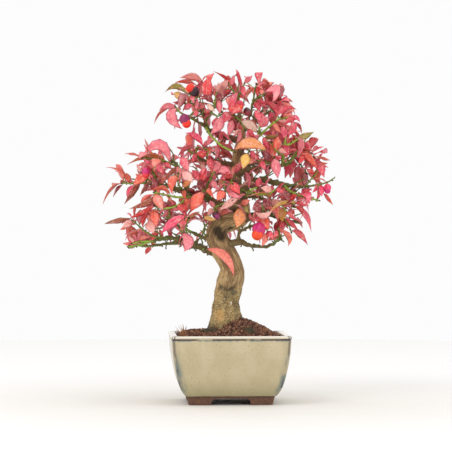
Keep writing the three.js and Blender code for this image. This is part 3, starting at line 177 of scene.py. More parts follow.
SHOOTS = {
    "low_left_tip": Shoot(
        twigs=[
            [(-58, -8.8, 123.2), (-63, -9, 123.4), (-69, -8, 123), (-74, -6, 122)],
            [(-62, -9, 122.8), (-69, -7, 120.6), (-77, -4, 119.4)],
        ],
        leaves=[
            ("pink", 3, -71, 123, -73, 129.5), ("pale", 3, -73, 122.5, -77, 127.5),
            ("salmon", 3.5, -69, 124, -65, 127, -61, 126), ("pink", 3, -70, 123.5, -68, 131),
        ],
        facing=-0.4, more=0, seed=11,
    ),
    "low_left_rise": Shoot(
        twigs=[
            [(-50, -9, 126), (-58, -13, 127.5), (-64, -14, 131), (-70, -13, 136), (-74, -11, 139)],
        ],
        leaves=[
            ("brown", 4, -75, 141, -86, 140.5, -96, 137), ("pale", 6, -74, 139, -81.5, 134),
            ("salmon", 3, -77, 137, -83, 132), ("red", 4, -62, 144.5, -66.5, 140, -66, 134),
            ("pale", 9, -62, 139, -58, 129.5),
        ],
        facing=-0.5, more=0, seed=12,
    ),
    "low_left_long": Shoot(
        twigs=[
            [(-32, -7, 123), (-34, -11, 130), (-46, -15, 141), (-52, -17, 146), (-57, -18, 151)],
            [(-44, -14, 139), (-46, -20, 146), (-44, -23, 150)],
        ],
        leaves=[
            ("coral", 8, -58, 147, -56, 135), ("red", 4, -57, 151, -66, 147, -76, 141),
            ("rose", 4, -45, 148, -42.5, 154), ("rose", 3, -45, 147, -37.5, 148.5),
            ("pink", 3.5, -46, 146, -51, 143),
        ],
        facing=-0.6, more=2, seed=13,
    ),
    "low_left_front": Shoot(
        twigs=[
            [(-29, -6, 121.5), (-31.5, -18, 128), (-33, -28, 134), (-31, -32, 141)],
            [(-31, -16, 127), (-36, -22, 130), (-38, -26, 134)],
        ],
        leaves=[
            ("vivid", 7, -33, 143, -43, 138, -52, 129), ("pink", 9, -36, 130, -31, 123, -34.5, 115.5),
            ("salmon", 2.5, -22, 146, -30, 143.5, -38.5, 131), ("rose", 4, -32, 138, -37, 137),
        ],
        facing=-0.5, more=0, seed=14,
    ),
    "low_left_under": Shoot(
        twigs=[
            [(-58, 5.5, 120.2), (-64, 9, 119.6), (-70, 12, 120), (-76, 14, 118.6)],
        ],
        leaves=[
            ("red", 4, -60, 120, -64, 113), ("salmon", 5, -68, 120, -62, 131),
        ],
        facing=0.5, more=3, seed=15,
    ),
    "left_tip": Shoot(
        twigs=[
            [(-64, -0.5, 168.4), (-70, 1, 168.2), (-76, 2, 168), (-82, 3, 168.2)],
        ],
        leaves=[
            ("salmon", 2, -82, 168, -91, 165, -97.5, 151.5),
            ("coral", 3.5, -79.5, 168.5, -82, 178, -95, 180),
            ("salmon", 2, -81, 172, -83, 177, -88, 176.5), ("coral", 5, -77, 168.5, -79, 176.5),
            ("brown", 4.5, -68, 169, -73, 163, -79.5, 151.5),
        ],
        facing=-0.5, more=0, seed=21,
    ),
    "left_mid": Shoot(
        twigs=[
            [(-46, -4.5, 165.5), (-54, -12, 167), (-62, -16, 171), (-67, -18, 176)],
            [(-55, -13, 168), (-57, -18, 174), (-59, -20, 178)],
        ],
        leaves=[
            ("coral", 7, -73.5, 166.5, -60, 175.5), ("coral", 4, -54, 172, -58, 177, -64, 181.5),
            ("brown", 3, -60, 170, -65, 164, -69, 158), ("coral", 4, -50, 166, -58, 166, -66, 160),
            ("crimson", 6, -56, 182, -50.5, 175.5), ("crimson", 4, -60, 178, -61.5, 184.5),
            ("pale", 3, -67, 177, -70, 181.5),
        ],
        facing=-0.5, more=2, seed=22,
    ),
    "left_upper": Shoot(
        twigs=[
            [(-40, -1.2, 181), (-46, -3, 184), (-52, -4, 186), (-58, -4, 187), (-66, -3, 187.5)],
        ],
        leaves=[
            ("salmon", 2, -67, 188, -73, 191, -80.5, 191),
            ("pink", 9, -45, 183, -53, 197.5, -66.5, 189), ("orange", 5, -46, 182, -60, 190, -78, 182),
            ("rose", 4, -50, 184, -44.5, 179.5), ("salmon", 4, -37, 180, -43, 178, -50, 171.5),
        ],
        facing=-0.4, more=2, seed=23,
    ),
    "left_front": Shoot(
        twigs=[
            [(-29, -5.5, 160), (-35, -18, 163), (-39, -27, 168), (-39, -30, 175)],
            [(-34, -16, 163), (-30, -23, 168), (-29, -26, 175)],
        ],
        leaves=[
            ("coral", 7, -37, 172, -43.5, 170, -43.5, 159.5), ("pale", 8, -36, 177, -28, 169.5),
            ("rose", 7, -37, 188, -31, 177.5), ("orange", 5, -36, 165, -29, 169.5),
            ("coral", 4, -35, 163, -34, 156.5), ("rose", 5, -29, 176, -23, 171),
        ],
        facing=-0.5, more=0, seed=24,
    ),
    "left_lime": Shoot(
        twigs=[
            [(-23, -4, 157.5), (-30, -20, 157.5), (-40, -24, 157.5), (-50, -24, 159.5), (-57, -24, 161)],
            [(-32, -20, 157), (-39, -26, 151.5), (-44, -27, 149.6), (-51, -26, 148.6)],
        ],
        leaves=[
            ("salmon", 8, -58, 159.5, -51, 147.5), ("brown", 5, -57, 160, -62, 154, -76.5, 149),
            ("coral", 4, -45, 160, -52, 165, -60, 161), ("red", 5, -39, 152, -36, 146),
        ],
        facing=-0.5, more=0, seed=25,
    ),
    "top_left_out": Shoot(
        twigs=[
            [(-23.5, -3, 228), (-30, -5, 229), (-36, -6, 231), (-40, -6, 234)],
            [(-30, -5, 229), (-29, -8, 233), (-30, -9, 237)],
        ],
        leaves=[
            ("olive", 5, -31.5, 236, -40, 243.5, -49.5, 238), ("gold", 5, -42, 238, -36, 231.5),
            ("salmon", 2.5, -40, 229, -52, 224.5, -57.5, 213.5), ("pink", 4, -33, 229.5, -43, 230),
            ("vivid", 5, -35, 225, -28, 228.5), ("rose", 4, -28.5, 236.5, -27, 230.5),
        ],
        facing=-0.5, more=0, seed=31,
    ),
    "top_left_low": Shoot(
        twigs=[
            [(-26, -6, 216.5), (-33, -11, 220.5), (-38, -13, 223), (-41, -14, 227)],
            [(-31, -10, 219), (-27, -13, 223), (-22, -15, 224.5)],
        ],
        leaves=[
            ("pink", 9, -40, 227, -44.5, 219, -36, 210),
            ("crimson", 3, -22, 224.5, -20, 229, -24.5, 229), ("rose", 4, -24, 224, -26, 219.5),
            ("pink", 5, -40, 226, -48, 228, -53, 224),
        ],
        facing=-0.5, more=0, seed=32,
    ),
    "top_left_high": Shoot(
        twigs=[
            [(-24, -3, 229), (-25, -2, 236), (-23, 0, 242), (-21, 2, 246)],
        ],
        leaves=[
            ("pale", 6, -20, 246, -28, 251, -37, 248), ("coral", 3, -24, 243, -32, 247, -41.5, 245),
            ("red", 4, -22, 244, -17, 241, -14, 234),
        ],
        facing=-0.4, more=2, seed=33,
    ),
    "top_mid_left": Shoot(
        twigs=[
            [(-18.5, -3, 216), (-14, -11, 222), (-11.5, -16, 228), (-9.5, -18, 237), (-8, -18, 240)],
            [(-14, -12, 223), (-9, -18, 220), (-6, -21, 221)],
        ],
        leaves=[
            ("red", 9, -16.5, 233, -17, 242, -14.5, 250), ("cream", 4, -17, 229, -10.5, 223.5),
            ("pink", 8, -6, 220, -8, 213, -14, 206.5), ("dark", 5, -12, 230, -19.5, 236),
            ("dark", 6, -10, 232, -2.5, 237), ("pale", 4, -9, 238, -7.5, 245.5),
        ],
        facing=-0.5, more=0, seed=34,
    ),
    "top_middle": Shoot(
        twigs=[
            [(7.5, 0, 233), (5, -4, 237), (2, -6, 241), (0, -7, 245)],
            [(6.5, -1, 235), (10, -2, 239), (12, -2, 245), (14, -1, 248)],
        ],
        leaves=[
            ("red", 4, 5, 233, 3, 246, -12.5, 252.5), ("pale", 6, -6.5, 238, -0.5, 247.5),
            ("pink", 4, 1, 243, 4.5, 249.5), ("rose", 3, 11, 236, 9, 250, 4.5, 255.5),
            ("pink", 4, 12, 245, 18, 250.5), ("rose", 4, 11, 243, 12, 234.5),
            ("salmon", 2, 20, 241.5, 12, 236),
        ],
        facing=-0.4, more=0, seed=35,
    ),
    "top_right_round": Shoot(
        twigs=[
            [(17.5, 1, 226), (19, 0, 233), (20, 1, 239), (21, 1, 244)],
            [(19, 0, 232), (23, -5, 234.5), (27, -8, 236)],
        ],
        leaves=[
            ("red", 3, 22, 235, 23, 242.5, 26.5, 239.5), ("pink", 8, 27.5, 238, 36.5, 240, 33.5, 230),
            ("rose", 3, 22, 232, 28.5, 229.5), ("rose", 5, 25, 232, 36.5, 226, 35, 216.5),
            ("crimson", 6, 20, 231, 24, 223.5),
        ],
        facing=-0.5, more=0, seed=41,
    ),
    "top_right_lime": Shoot(
        twigs=[
            [(15, -13, 199), (20, -16, 202), (28, -19, 209), (36, -22, 216), (40, -23, 218.5)],
            [(34, -21.5, 214.5), (40, -20, 217.5), (46, -19, 219)],
            [(21, -16, 203), (23.5, -18, 208), (23.5, -19, 214)],
        ],
        leaves=[
            ("rose", 5, 36.5, 219.5, 44, 227, 52.5, 225), ("rose", 4, 41, 211, 48, 218.5, 53.5, 215.5),
            ("pale", 3, 38, 215.5, 44.5, 216), ("rose", 5, 20, 224, 24.5, 215.5),
            ("pink", 9, 24, 211, 30, 219.5), ("olive", 3, 27, 203, 38.5, 204.5),
            ("cream", 8, 22, 207, 16, 213, 9.5, 216), ("salmon", 4, 34, 214, 39.5, 207),
        ],
        facing=-0.6, more=0, seed=42,
    ),
    "right_olive": Shoot(
        twigs=[
            [(41, -8, 182), (42, -13, 190), (43, -15, 198), (44, -15, 206)],
            [(43, -14.5, 197), (48, -13, 199), (53, -12, 202)],
            [(42, -13, 190), (37, -18, 193), (33, -20, 199)],
        ],
        leaves=[
            ("rose", 5, 44, 205, 49, 210, 52.5, 214.5), ("vivid", 6, 43, 202, 41, 212),
            ("olive", 5, 52, 201.5, 65.5, 207), ("pink", 6, 50, 205, 56, 198, 51, 187.5),
            ("coral", 6, 36, 192, 38, 204), ("rose", 4, 26, 203, 30.5, 195),
            ("pale", 4, 38, 194, 44, 191.5), ("crimson", 7, 42, 198, 45, 187.5),
        ],
        facing=-0.5, more=0, seed=43,
    ),
    "top_front": Shoot(
        twigs=[
            [(4, -11, 220.5), (2, -19, 222), (1, -25, 224), (1, -27, 227)],
            [(3, -14, 221), (9, -19, 216), (12, -22, 210)],
        ],
        leaves=[
            ("crimson", 8, 1, 223, -4, 214.5), ("red", 9, -1, 226, 10, 224),
            ("pink", 6, 3, 217, 0, 204.5), ("pale", 4, 10, 208, 3, 206.5),
            ("pink", 4, 10, 208, 7, 199.5), ("crimson", 4, 14, 209, 20.5, 203),
            ("rose", 5, 1, 226, 4, 233),
        ],
        facing=-0.6, more=0, seed=44,
    ),
    "upper_left": Shoot(
        twigs=[
            [(-23, -5, 188), (-25, -10, 192), (-24, -12, 196), (-19, -13, 195), (-12, -14, 191.5)],
            [(-26, -6, 189.5), (-29, -8, 192), (-32, -9, 194)],
            [(-15, -14, 193), (-16, -18, 191), (-17, -22, 188)],
        ],
        leaves=[
            ("red", 6, -17, 189, -25, 191), ("pink", 4.5, -8, 198, -10, 186.5),
            ("crimson", 6, -16, 187, -12.5, 178.5), ("pale", 4, -22, 182.5, -16.5, 176.5),
            ("vivid", 5, -20, 196, -24, 204, -33.5, 206.5), ("pink", 4, -20, 196.5, -12, 202.5),
            ("rose", 3.5, -25, 196, -33, 196, -39.5, 188.5), ("rose", 4, -25, 191, -28, 184.5),
        ],
        facing=-0.5, more=0, seed=51,
    ),
    "upper_twig": Shoot(
        twigs=[
            [(-17.5, -4, 211), (-14, -12, 205), (-9, -18, 200), (-3, -22, 195.5), (4, -24, 192.5)],
        ],
        leaves=[
            ("rose", 3, -8, 200, -4, 207, 4.5, 194.5), ("crimson", 3, -8, 200.5, -5, 206),
            ("pink", 4, -14, 205, -16, 197.5),
        ],
        facing=-0.5, more=0, seed=53,
    ),
    "centre_orange": Shoot(
        twigs=[
            [(12, -10, 196), (14, -20, 195), (15, -28, 194), (16, -32, 193)],
        ],
        leaves=[
            ("orange", 9, 29, 193.5, 16, 199, 4.5, 194), ("gold", 8, 14, 191, 11, 179.5),
            ("salmon", 5, 15, 196, 22, 200, 26, 194), ("crimson", 4, 17, 193, 21, 186.5),
        ],
        facing=-0.5, more=0, seed=54,
    ),
    "centre_spray": Shoot(
        twigs=[
            [(-14, -3, 155.5), (-17, -20, 164), (-14, -27, 172), (-11, -29, 178)],
            [(-16, -18, 162), (-21, -25, 166), (-23, -28, 171)],
        ],
        leaves=[
            ("red", 5, -24, 171, -16.5, 173.5), ("pink", 5, -14, 170, -8.5, 163.5),
            ("pink", 6, -10, 179, 2, 175.5), ("pink", 5, -12, 177, -6, 183.5),
            ("dark", 5, -20, 165, -24, 169.5), ("rose", 6, -23, 171, -28, 178),
        ],
        facing=-0.6, more=0, seed=55,
    ),
    "centre_red": Shoot(
        twigs=[
            [(-1, -18, 173), (-3, -27, 171), (-4, -34, 168), (-3, -36, 163)],
            [(-2, -22, 172), (2, -30, 170), (3, -34, 168)],
        ],
        leaves=[
            ("brown", 6, -3, 170, -8, 165.5), ("red", 6, 1, 171, -2, 176.5),
            ("rose", 5, 3, 175, 10.5, 184.5), ("red", 7, 1, 168.5, 8.5, 159.5),
            ("pink", 3, 0, 167, -7, 166, -11.5, 159.5), ("coral", 7, -3, 162, -9, 155),
            ("pink", 4, -1, 160, 8.5, 157),
        ],
        facing=-0.6, more=0, seed=56,
    ),
    "coral": Shoot(
        twigs=[
            [(-17, -4, 155), (-20, -16, 157.5), (-20, -26, 161), (-19, -29, 164)],
            [(-19, -14, 156.5), (-27, -22, 154), (-32, -25, 150)],
        ],
        leaves=[
            ("coral", 10, -19, 161.5, -25, 155, -29, 146.5),
            ("coral", 4, -18, 161.5, -14, 162, -12, 156), ("dark", 5, -20, 162, -24.5, 168.5),
            ("red", 5, -31, 151, -37.5, 146.5), ("coral", 5, -31, 150.5, -33, 157),
        ],
        facing=-0.6, more=0, seed=57,
    ),
    "low_centre": Shoot(
        twigs=[
            [(-10, -17, 145.5), (-11, -25, 149), (-6, -29, 152), (2, -32, 155)],
            [(-10, -20, 147), (-15, -25, 144), (-19, -27, 142)],
            [(-2, -30.5, 153.7), (3, -30, 152.5), (7.5, -27, 150)],
        ],
        leaves=[
            ("orange", 10, 7.5, 149.5, 8, 142, 6, 134), ("olive", 4, 11, 151, 15, 145.5),
            ("salmon", 5, 9, 151, 16, 155), ("pale", 6, 7, 157, 0, 153, -7.5, 147.5),
            ("pink", 4, -11, 149, -14.5, 155), ("pale", 5, -11, 148, -16.5, 143.5),
            ("gold", 4, -19.5, 141.5, -9.5, 140),
        ],
        facing=-0.5, more=0, seed=61,
    ),
    "trunk_leaf": Shoot(
        twigs=[
            [(-19, -4, 118), (-20, -11, 117.5), (-18.5, -14, 117.5)],
        ],
        leaves=[
            ("salmon", 7.5, -17.5, 117.5, -3, 112, 4, 96.5),
        ],
        facing=-0.2, more=0, seed=63,
    ),
    "right_centre": Shoot(
        twigs=[
            [(31, -6, 181), (34, -15, 184), (35, -22, 188)],
            [(33, -12, 183), (27, -20, 184), (22, -24, 186)],
        ],
        leaves=[
            ("pink", 8, 35, 187.5, 38, 172), ("crimson", 4, 23, 186, 18.5, 189.5),
            ("rose", 5, 24, 185, 28, 178.5), ("rose", 5, 33, 185, 41, 188),
            ("salmon", 5, 20, 187, 14, 183),
        ],
        facing=-0.5, more=0, seed=71,
    ),
    "right_upper": Shoot(
        twigs=[
            [(46, -8, 183.5), (52, -7, 190), (56, -6, 196), (59, -5, 202)],
            [(51, -7, 189), (58, -6, 190), (65, -4, 188.5)],
        ],
        leaves=[
            ("coral", 6, 53, 191, 61, 189, 67.5, 178.5), ("salmon", 2, 56, 195, 66, 193),
            ("salmon", 2, 66, 188.5, 78, 185.5), ("rose", 4, 58, 199, 63, 193.5),
            ("red", 5, 58, 190, 54, 183),
        ],
        facing=-0.5, more=0, seed=72,
    ),
    "right_tip": Shoot(
        twigs=[
            [(60, 0, 165.6), (68, 1, 167), (76, 2, 169), (81.5, 3, 172.5)],
            [(59, -1, 166), (63, -2, 171), (68, -2, 177), (69, -1, 184)],
        ],
        leaves=[
            ("rose", 7, 67, 186, 73.5, 172.5), ("vivid", 5, 71, 167, 71.5, 158),
            ("rose", 3, 69, 165, 68, 154), ("coral", 3, 73, 160, 80.5, 151.5),
            ("rose", 3, 68, 167, 65, 161), ("salmon", 2, 69, 184, 75.5, 183),
            ("red", 4, 66, 175, 60, 179),
        ],
        facing=-0.5, more=0, seed=73,
    ),
    "right_low": Shoot(
        twigs=[
            [(42, -4.5, 167), (48, -7, 161.5), (57, -8, 158), (69, -8, 155)],
            [(50, -7.3, 161), (49, -13, 155), (50, -15, 151.5)],
        ],
        leaves=[
            ("red", 5, 46, 155, 52.5, 159.5), ("rose", 3, 51, 152.5, 61.5, 150.5),
            ("red", 3.5, 50, 151, 57.5, 147, 54.5, 140.5), ("rose", 5, 58, 158, 62, 164),
            ("rose", 4, 62, 157, 59, 151.5),
        ],
        facing=-0.5, more=2, seed=74,
    ),
    "right_front": Shoot(
        twigs=[
            [(27, -19, 156), (34, -25, 154), (40, -27, 151.5), (45, -27, 146)],
            [(29, -21, 155), (25, -27, 152), (27, -30, 147)],
        ],
        leaves=[
            ("gold", 3.5, 31, 145, 40, 153, 51.5, 151.5), ("pale", 5, 33, 151, 38.5, 155.5),
            ("dark", 4, 41, 155, 48.5, 154), ("rose", 3, 44, 146, 52.5, 139.5),
            ("dark", 8, 26, 151, 19, 147.5), ("dark", 7, 27, 150, 33, 156),
            ("pale", 5, 20, 147, 26, 143, 33.5, 147),
        ],
        facing=-0.5, more=0, seed=75,
    ),
    "right_arch": Shoot(
        twigs=[
            [(14, -7, 158.5), (15, -18, 161), (17, -26, 163), (22, -29, 165)],
            [(16, -22, 162), (22, -27, 160), (30, -29, 160), (36, -29, 163.5)],
        ],
        leaves=[
            ("pale", 3.5, 8, 164, 16, 168.5, 24.5, 162.5), ("pale", 6, 33, 162, 25.5, 164.5),
            ("orange", 2.5, 33.5, 157.5, 24, 161, 14, 156.5), ("rose", 5, 22, 165, 24, 172.5),
            ("rose", 4, 36, 163, 43, 161),
        ],
        facing=-0.5, more=0, seed=76,
    ),
    "low_right_pink": Shoot(
        twigs=[
            [(32, -3.6, 143.6), (37, -10, 144), (41, -14, 142), (46, -16, 136), (48, -16, 131)],
        ],
        leaves=[
            ("vivid", 5, 33, 145.5, 41, 141, 44.5, 132.5), ("rose", 4, 42, 141, 48, 138, 52.5, 131.5),
            ("gold", 8, 40, 148.5, 41, 138.5), ("rose", 5, 48, 131.5, 55, 130, 60, 120.5),
        ],
        facing=-0.5, more=0, seed=81,
    ),
    "low_right_tip": Shoot(
        twigs=[
            [(36, -12.8, 123), (39, -16, 127), (39, -19, 131), (38, -20, 134)],
        ],
        leaves=[
            ("salmon", 4.5, 38, 133.5, 46.5, 127, 45.5, 119.5), ("rose", 4, 38, 131, 34.5, 126.5),
            ("brown", 5, 39, 128, 30, 124),
        ],
        facing=-0.5, more=0, seed=82,
    ),
    "low_right_mid": Shoot(
        twigs=[
            [(19, -15, 135.8), (24, -20, 138.5), (27, -23, 141), (28, -24, 143)],
            [(24, -19, 138), (29, -22, 133), (30, -23, 129)],
        ],
        leaves=[
            ("coral", 9, 24, 142, 30.5, 132.5), ("salmon", 5, 29, 130, 26, 119.5),
            ("rose", 5, 29, 131, 34, 125.5), ("rose", 3, 20, 137, 15.5, 145),
            ("rose", 5, 25, 140, 19.5, 140),
        ],
        facing=-0.5, more=0, seed=83,
    ),
}

# Shoots at the back have no listed leaves and grow them all by rule.
BACK_SHOOTS = {
    "back_low_left": [
        [(-28, 32, 130.5), (-37, 40, 135), (-46, 45, 139), (-54, 46, 145)],
        [(-37, 39, 135), (-34, 47, 140), (-36, 52, 147)],
        [(-46, 45, 139), (-52, 38, 134), (-58, 28, 133)],
    ],
    "back_low": [
        [(-10, 40, 131), (-9, 48, 135), (-5, 52, 141), (-4, 52, 148)],
        [(-10, 43, 132), (-18, 50, 136), (-22, 52, 143)],
        [(-9, 48, 135), (2, 50, 134), (12, 48, 132)],
    ],
    "back_low_right": [
        [(30, 35.5, 148), (39, 42, 152), (47, 44, 158), (54, 40, 164)],
        [(38, 41, 151), (34, 50, 155), (26, 53, 160)],
        [(39, 42, 152), (48, 36, 150), (56, 26, 150)],
    ],
    "back_left": [
        [(-28, 33, 174.5), (-38, 38, 178), (-50, 38, 181), (-60, 32, 182)],
        [(-36, 37, 177), (-34, 46, 182), (-28, 50, 188)],
        [(-38, 38, 178), (-46, 30, 172), (-56, 20, 170)],
    ],
    "back_middle": [
        [(7.5, 42, 179), (5, 49, 184), (-2, 52, 190), (-4, 50, 198)],
        [(6, 47, 182), (14, 53, 182), (20, 54, 177)],
        [(6, 47, 182), (-8, 46, 178), (-20, 42, 176)],
    ],
    "back_right": [
        [(39, 28, 188), (48, 31, 191), (57, 28, 193), (64, 20, 191)],
        [(45, 31, 190), (42, 39, 196), (36, 42, 202)],
        [(48, 31, 191), (54, 22, 184), (60, 14, 176)],
    ],
    "back_top": [
        [(-5, 27, 223), (-11, 32, 229), (-16, 32, 236), (-16, 28, 243)],
        [(-9, 31, 227), (-4, 36, 234), (2, 36, 240)],
        [(-9, 31, 227), (-20, 26, 222), (-28, 16, 218)],
    ],
    "back_top_right": [
        [(24.5, 23.5, 222), (28, 27, 229), (27, 27, 237), (22, 22, 244)],
        [(27, 26, 226), (34, 26, 230), (40, 22, 232)],
        [(28, 27, 229), (36, 18, 222), (42, 12, 214)],
    ],
}
for seed, (name, twigs) in enumerate(BACK_SHOOTS.items(), 91):
    SHOOTS[name] = Shoot(twigs, [], 0.6, 12, seed)
FRUITS = [
    ("fruit_top_left", (-29, -8, 235), (-26.5, -13, 239), (-30, -14, 242), 4),
    ("fruit_left_purple", (-33, -11, 220.5), (-34, -20, 217.5), (-32.2, -20, 213.5), 4),
    ("fruit_top_crimson", (2, -19, 222.5), (8.5, -25, 229), (8, -26, 226.5), 3),
    ("fruit_top_brown", (9, -19, 217), (14, -24, 224), (14.5, -25, 222), 2.7),
    ("fruit_left_magenta", (-62, -16, 171.5), (-64, -22, 177), (-64, -22, 174.5), 3.1),
    ("fruit_centre_plum", (-11, -25, 148.5), (-10, -30, 144), (-9, -31, 142.5), 2.8),
    ("fruit_low_right", (24.5, -20, 139.5), (23.2, -27, 133), (21.8, -28, 127.6), 5),
    ("fruit_right_tip", (76, 2, 169), (76, -3, 165), (76, -3.5, 162), 2.8),
]

FRUIT_TONES = {
    "fruit_top_left": ("black", "scarlet"), "fruit_left_purple": ("purple", "scarlet"),
    "fruit_top_crimson": ("crimson", "flame"), "fruit_top_brown": ("husk", "dark"),
    "fruit_left_magenta": ("magenta", "red"), "fruit_centre_plum": ("plum", "purple"),
    "fruit_low_right": ("magenta", "flame"), "fruit_right_tip": ("vivid", "magenta"),
}

# Moss cushions: node, x, y, radius, height.
MOSS = [("moss_left", -17, -22, 8, 2.6), ("moss_right", 15, -28, 6, 2.2)]
GRASS_ROOT = (-35, -30, 50)
GRASS_TIPS = [(-41, -33, 58), (-39, -30, 61), (-36, -34, 59.5), (-33, -31, 60), (-37.5, -28, 62)]

# Hollows and creases of the trunk, sunk into the wood and darkened there with painted shade, and the
# swellings over them, with their radius.
TRUNK_HOLLOWS = [
    ((-9, -9, 131.5), 5), ((-5.5, -10, 128), 5), ((-1.5, -9, 130), 3.5), ((-13, -4, 120.5), 2.2),
    ((2, -6, 132), 3),
]
TRUNK_CREASE = [(-6, -8.5, 88.4), (-2.5, -10, 86.6), (1, -10.5, 86.6), (4, -10, 88.4)]
CREASE_RADIUS = 2.4
TRUNK_SWELLINGS = [((-2, -10, 93.5), 5.5), ((4, -9, 95.5), 6)]

# Patches on the bark's front: tone, x, z, half width, half height and strength.
BARK_SPOTS = [
    ("CC9C58", -7.5, 67, 3.6, 5, 0.6), ("3E4636", 3.4, 84.5, 2.6, 2.4, 0.6),
    ("E8E2D0", 1.2, 76, 0.7, 1.4, 0.9),
]

# Shoots with stout bright green twigs.
LIME_SHOOTS = [
    "left_lime", "top_right_lime", "right_low", "right_arch", "low_left_tip", "right_olive",
    "upper_twig",
]

STOUT_TWIG = 1.3
LOWEST_LEAF = 116  # a leaf grown by rule with its tip below this is turned upwards
FINE_TWIGS = 0.12  # how often a thin green twig grows from a branch

# Leaves grown by rule beside the listed ones on each shoot, and the shoots that have twice
# as many. The solid model doesn't have them, and they are most of the leaves seen.
DENSE_SHOOTS = [
    "right_centre", "right_upper", "right_olive", "top_front", "centre_spray", "upper_left",
    "upper_twig", "back_right", "back_middle", "back_top_right", "centre_red", "right_front",
]
FILL_FRONT = 10
FILL_BACK = 24


# Colours

def colour(text):
    """A linear colour from red, green and blue in hexadecimal."""
    shares = [int(text[i:i + 2], 16) / 255 for i in (0, 2, 4)]
    return tuple(s / 12.92 if s <= 0.04045 else ((s + 0.055) / 1.055) ** 2.4 for s in shares) + (1,)


TONES = {
    "rose": "EE5268", "pink": "F67E8C", "pale": "FAB4AA", "salmon": "F47E68", "coral": "F26044",
    "red": "E23238", "crimson": "CC2846", "vivid": "F24870", "dark": "86202E", "brown": "AC5E3A",
    "orange": "F29650", "gold": "DDAC42", "olive": "96963A", "cream": "F7D2BA",
    "black": "2A1620", "purple": "8E2A5A", "magenta": "CE2E70", "plum": "562838", "scarlet": "F02E16",
    "flame": "F84A14", "husk": "4A2A26",
}
TONES = {name: colour(text) for name, text in TONES.items()}
LIME_GREENS = colour("7E9A34"), colour("A6BE48")
TWIG_GREENS = colour("586A2C"), colour("90A83C")
SOIL_TONES = [
    colour(text)
    for text in ("6A4434", "7C4E3A", "4E3024", "8E6046", "5C3A2C", "A07858", "3E281E", "735040")
]
COMMON_TONES = ["rose", "pink", "rose", "salmon", "coral", "red", "pale", "crimson", "pink", "vivid"]
# Tones for the leaves grown by rule: leaf tones with no pale one and with a dark one, darker as painted
# shade for the crown's inside.
DEEP_SHADE_TONES = ["rose", "salmon", "red", "pink", "vivid", "coral", "rose", "salmon", "crimson", "dark"]


# Working by hand

def pick(*pieces):
    """Selects only these, the first one active."""
    bpy.ops.object.select_all(action="DESELECT")
    for piece in pieces:
        piece.select_set(True)
    bpy.context.view_layer.objects.active = pieces[0]


def added(operator, name, **settings):
    """The new object that a primitive operator adds."""
    bpy.ops.object.select_all(action="DESELECT")
    operator(**settings)
    piece = bpy.context.object
    piece.name = name
    bpy.ops.object.transform_apply(location=True, rotation=True, scale=True)
    return piece


def modify(piece, kind, **settings):
    """A modifier is added and applied."""
    pick(piece)
    modifier = piece.modifiers.new(kind.title(), kind)
    for name, value in settings.items():
        setattr(modifier, name, value)
    bpy.ops.object.modifier_apply(modifier=modifier.name)


def choose(piece, kind, test):
    """In edit mode, selects only the faces, edges or vertices that pass the test."""
    bpy.ops.mesh.select_mode(type=kind)
    bpy.ops.mesh.select_all(action="DESELECT")
    mesh = bmesh.from_edit_mesh(piece.data)
    for each in {"FACE": mesh.faces, "EDGE": mesh.edges, "VERT": mesh.verts}[kind]:
        if test(each):
            each.select_set(True)
    mesh.select_flush(kind != "VERT")
    bmesh.update_edit_mesh(piece.data)


def smooth(piece, degrees=180):
    pick(piece)
    if degrees == 180:
        bpy.ops.object.shade_smooth()
    else:
        bpy.ops.object.shade_smooth_by_angle(angle=math.radians(degrees))


def settle(piece, finish, node):
    """Puts a piece that is modelled in millimetres in its place, gives it its finish and hides the solid
    part that it stands for.

    Some leaves and a few buds would pass the solid model's box, by up to about 2 mm. What
    passes it is laid flat against the box."""
    piece.data.transform(Matrix.Translation(POT_PLACE) @ Matrix.Scale(MM, 4))
    places = numpy.empty(3 * len(piece.data.vertices))
    piece.data.vertices.foreach_get("co", places)
    places = numpy.clip(places.reshape(-1, 3), *cad_box)
    piece.data.vertices.foreach_set("co", places.ravel())
    piece.data.name = piece.name
    piece.data.materials.clear()
    piece.data.materials.append(finish)
    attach(piece, "root")
    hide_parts(node)
    return piece


def seen(x, y, z):
    """A place in the tree from where it looks to be, with y its depth behind the pot's middle."""
    spread = 1 + y / EYE_DISTANCE
    place = Vector((EYE_X + (x - EYE_X) * spread, y, EYE_Z + (z - EYE_Z) * spread))
    return Matrix.Rotation(TURN, 3, "Z") @ place


def curved(places, count):
    """count + 1 points along a smooth curve through the places."""
    ends = [2 * places[0] - places[1], *places, 2 * places[-1] - places[-2]]
    points = []
    for i in range(count + 1):
        t = i / count * (len(places) - 1)
        k = min(int(t), len(places) - 2)
        t -= k
        a, b, c, d = ends[k:k + 4]
        bow = (2 * a - 5 * b + 4 * c - d) * t ** 2
        points.append((2 * b + (c - a) * t + bow + (3 * b - a - 3 * c + d) * t ** 3) / 2)
    return points


def spread_over(values, count):
    """count + 1 values spread evenly over a list of them."""
    out = []
    for i in range(count + 1):
        t = i / count * (len(values) - 1)
        k = min(int(t), len(values) - 2)
        out.append(values[k] + (values[k + 1] - values[k]) * (t - k))
    return out


def length_of(points):
    return sum((b - a).length for a, b in zip(points, points[1:]))


def tubes(name, runs, roundness):
    """Round rods along runs of points with a radius at each, closed at their ends."""
    curve = bpy.data.curves.new(name, "CURVE")
    curve.dimensions = "3D"
    curve.bevel_depth = 1
    curve.bevel_resolution = roundness
    curve.use_fill_caps = True
    for points, radii in runs:
        spline = curve.splines.new("POLY")
        spline.points.add(len(points) - 1)
        for place, radius, corner in zip(points, radii, spline.points):
            corner.co = (*place, 1)
            corner.radius = radius
    rod = bpy.data.objects.new(name, curve)
    bpy.context.collection.objects.link(rod)
    pick(rod)
    bpy.ops.object.convert(target="MESH")
    rod = bpy.context.object
    pick(rod)
    bpy.ops.object.mode_set(mode="EDIT")
    bpy.ops.mesh.select_all(action="SELECT")
    bpy.ops.mesh.remove_doubles(threshold=0.0001)
    bpy.ops.mesh.normals_make_consistent(inside=False)
    bpy.ops.object.mode_set(mode="OBJECT")
    return rod


# Finishes

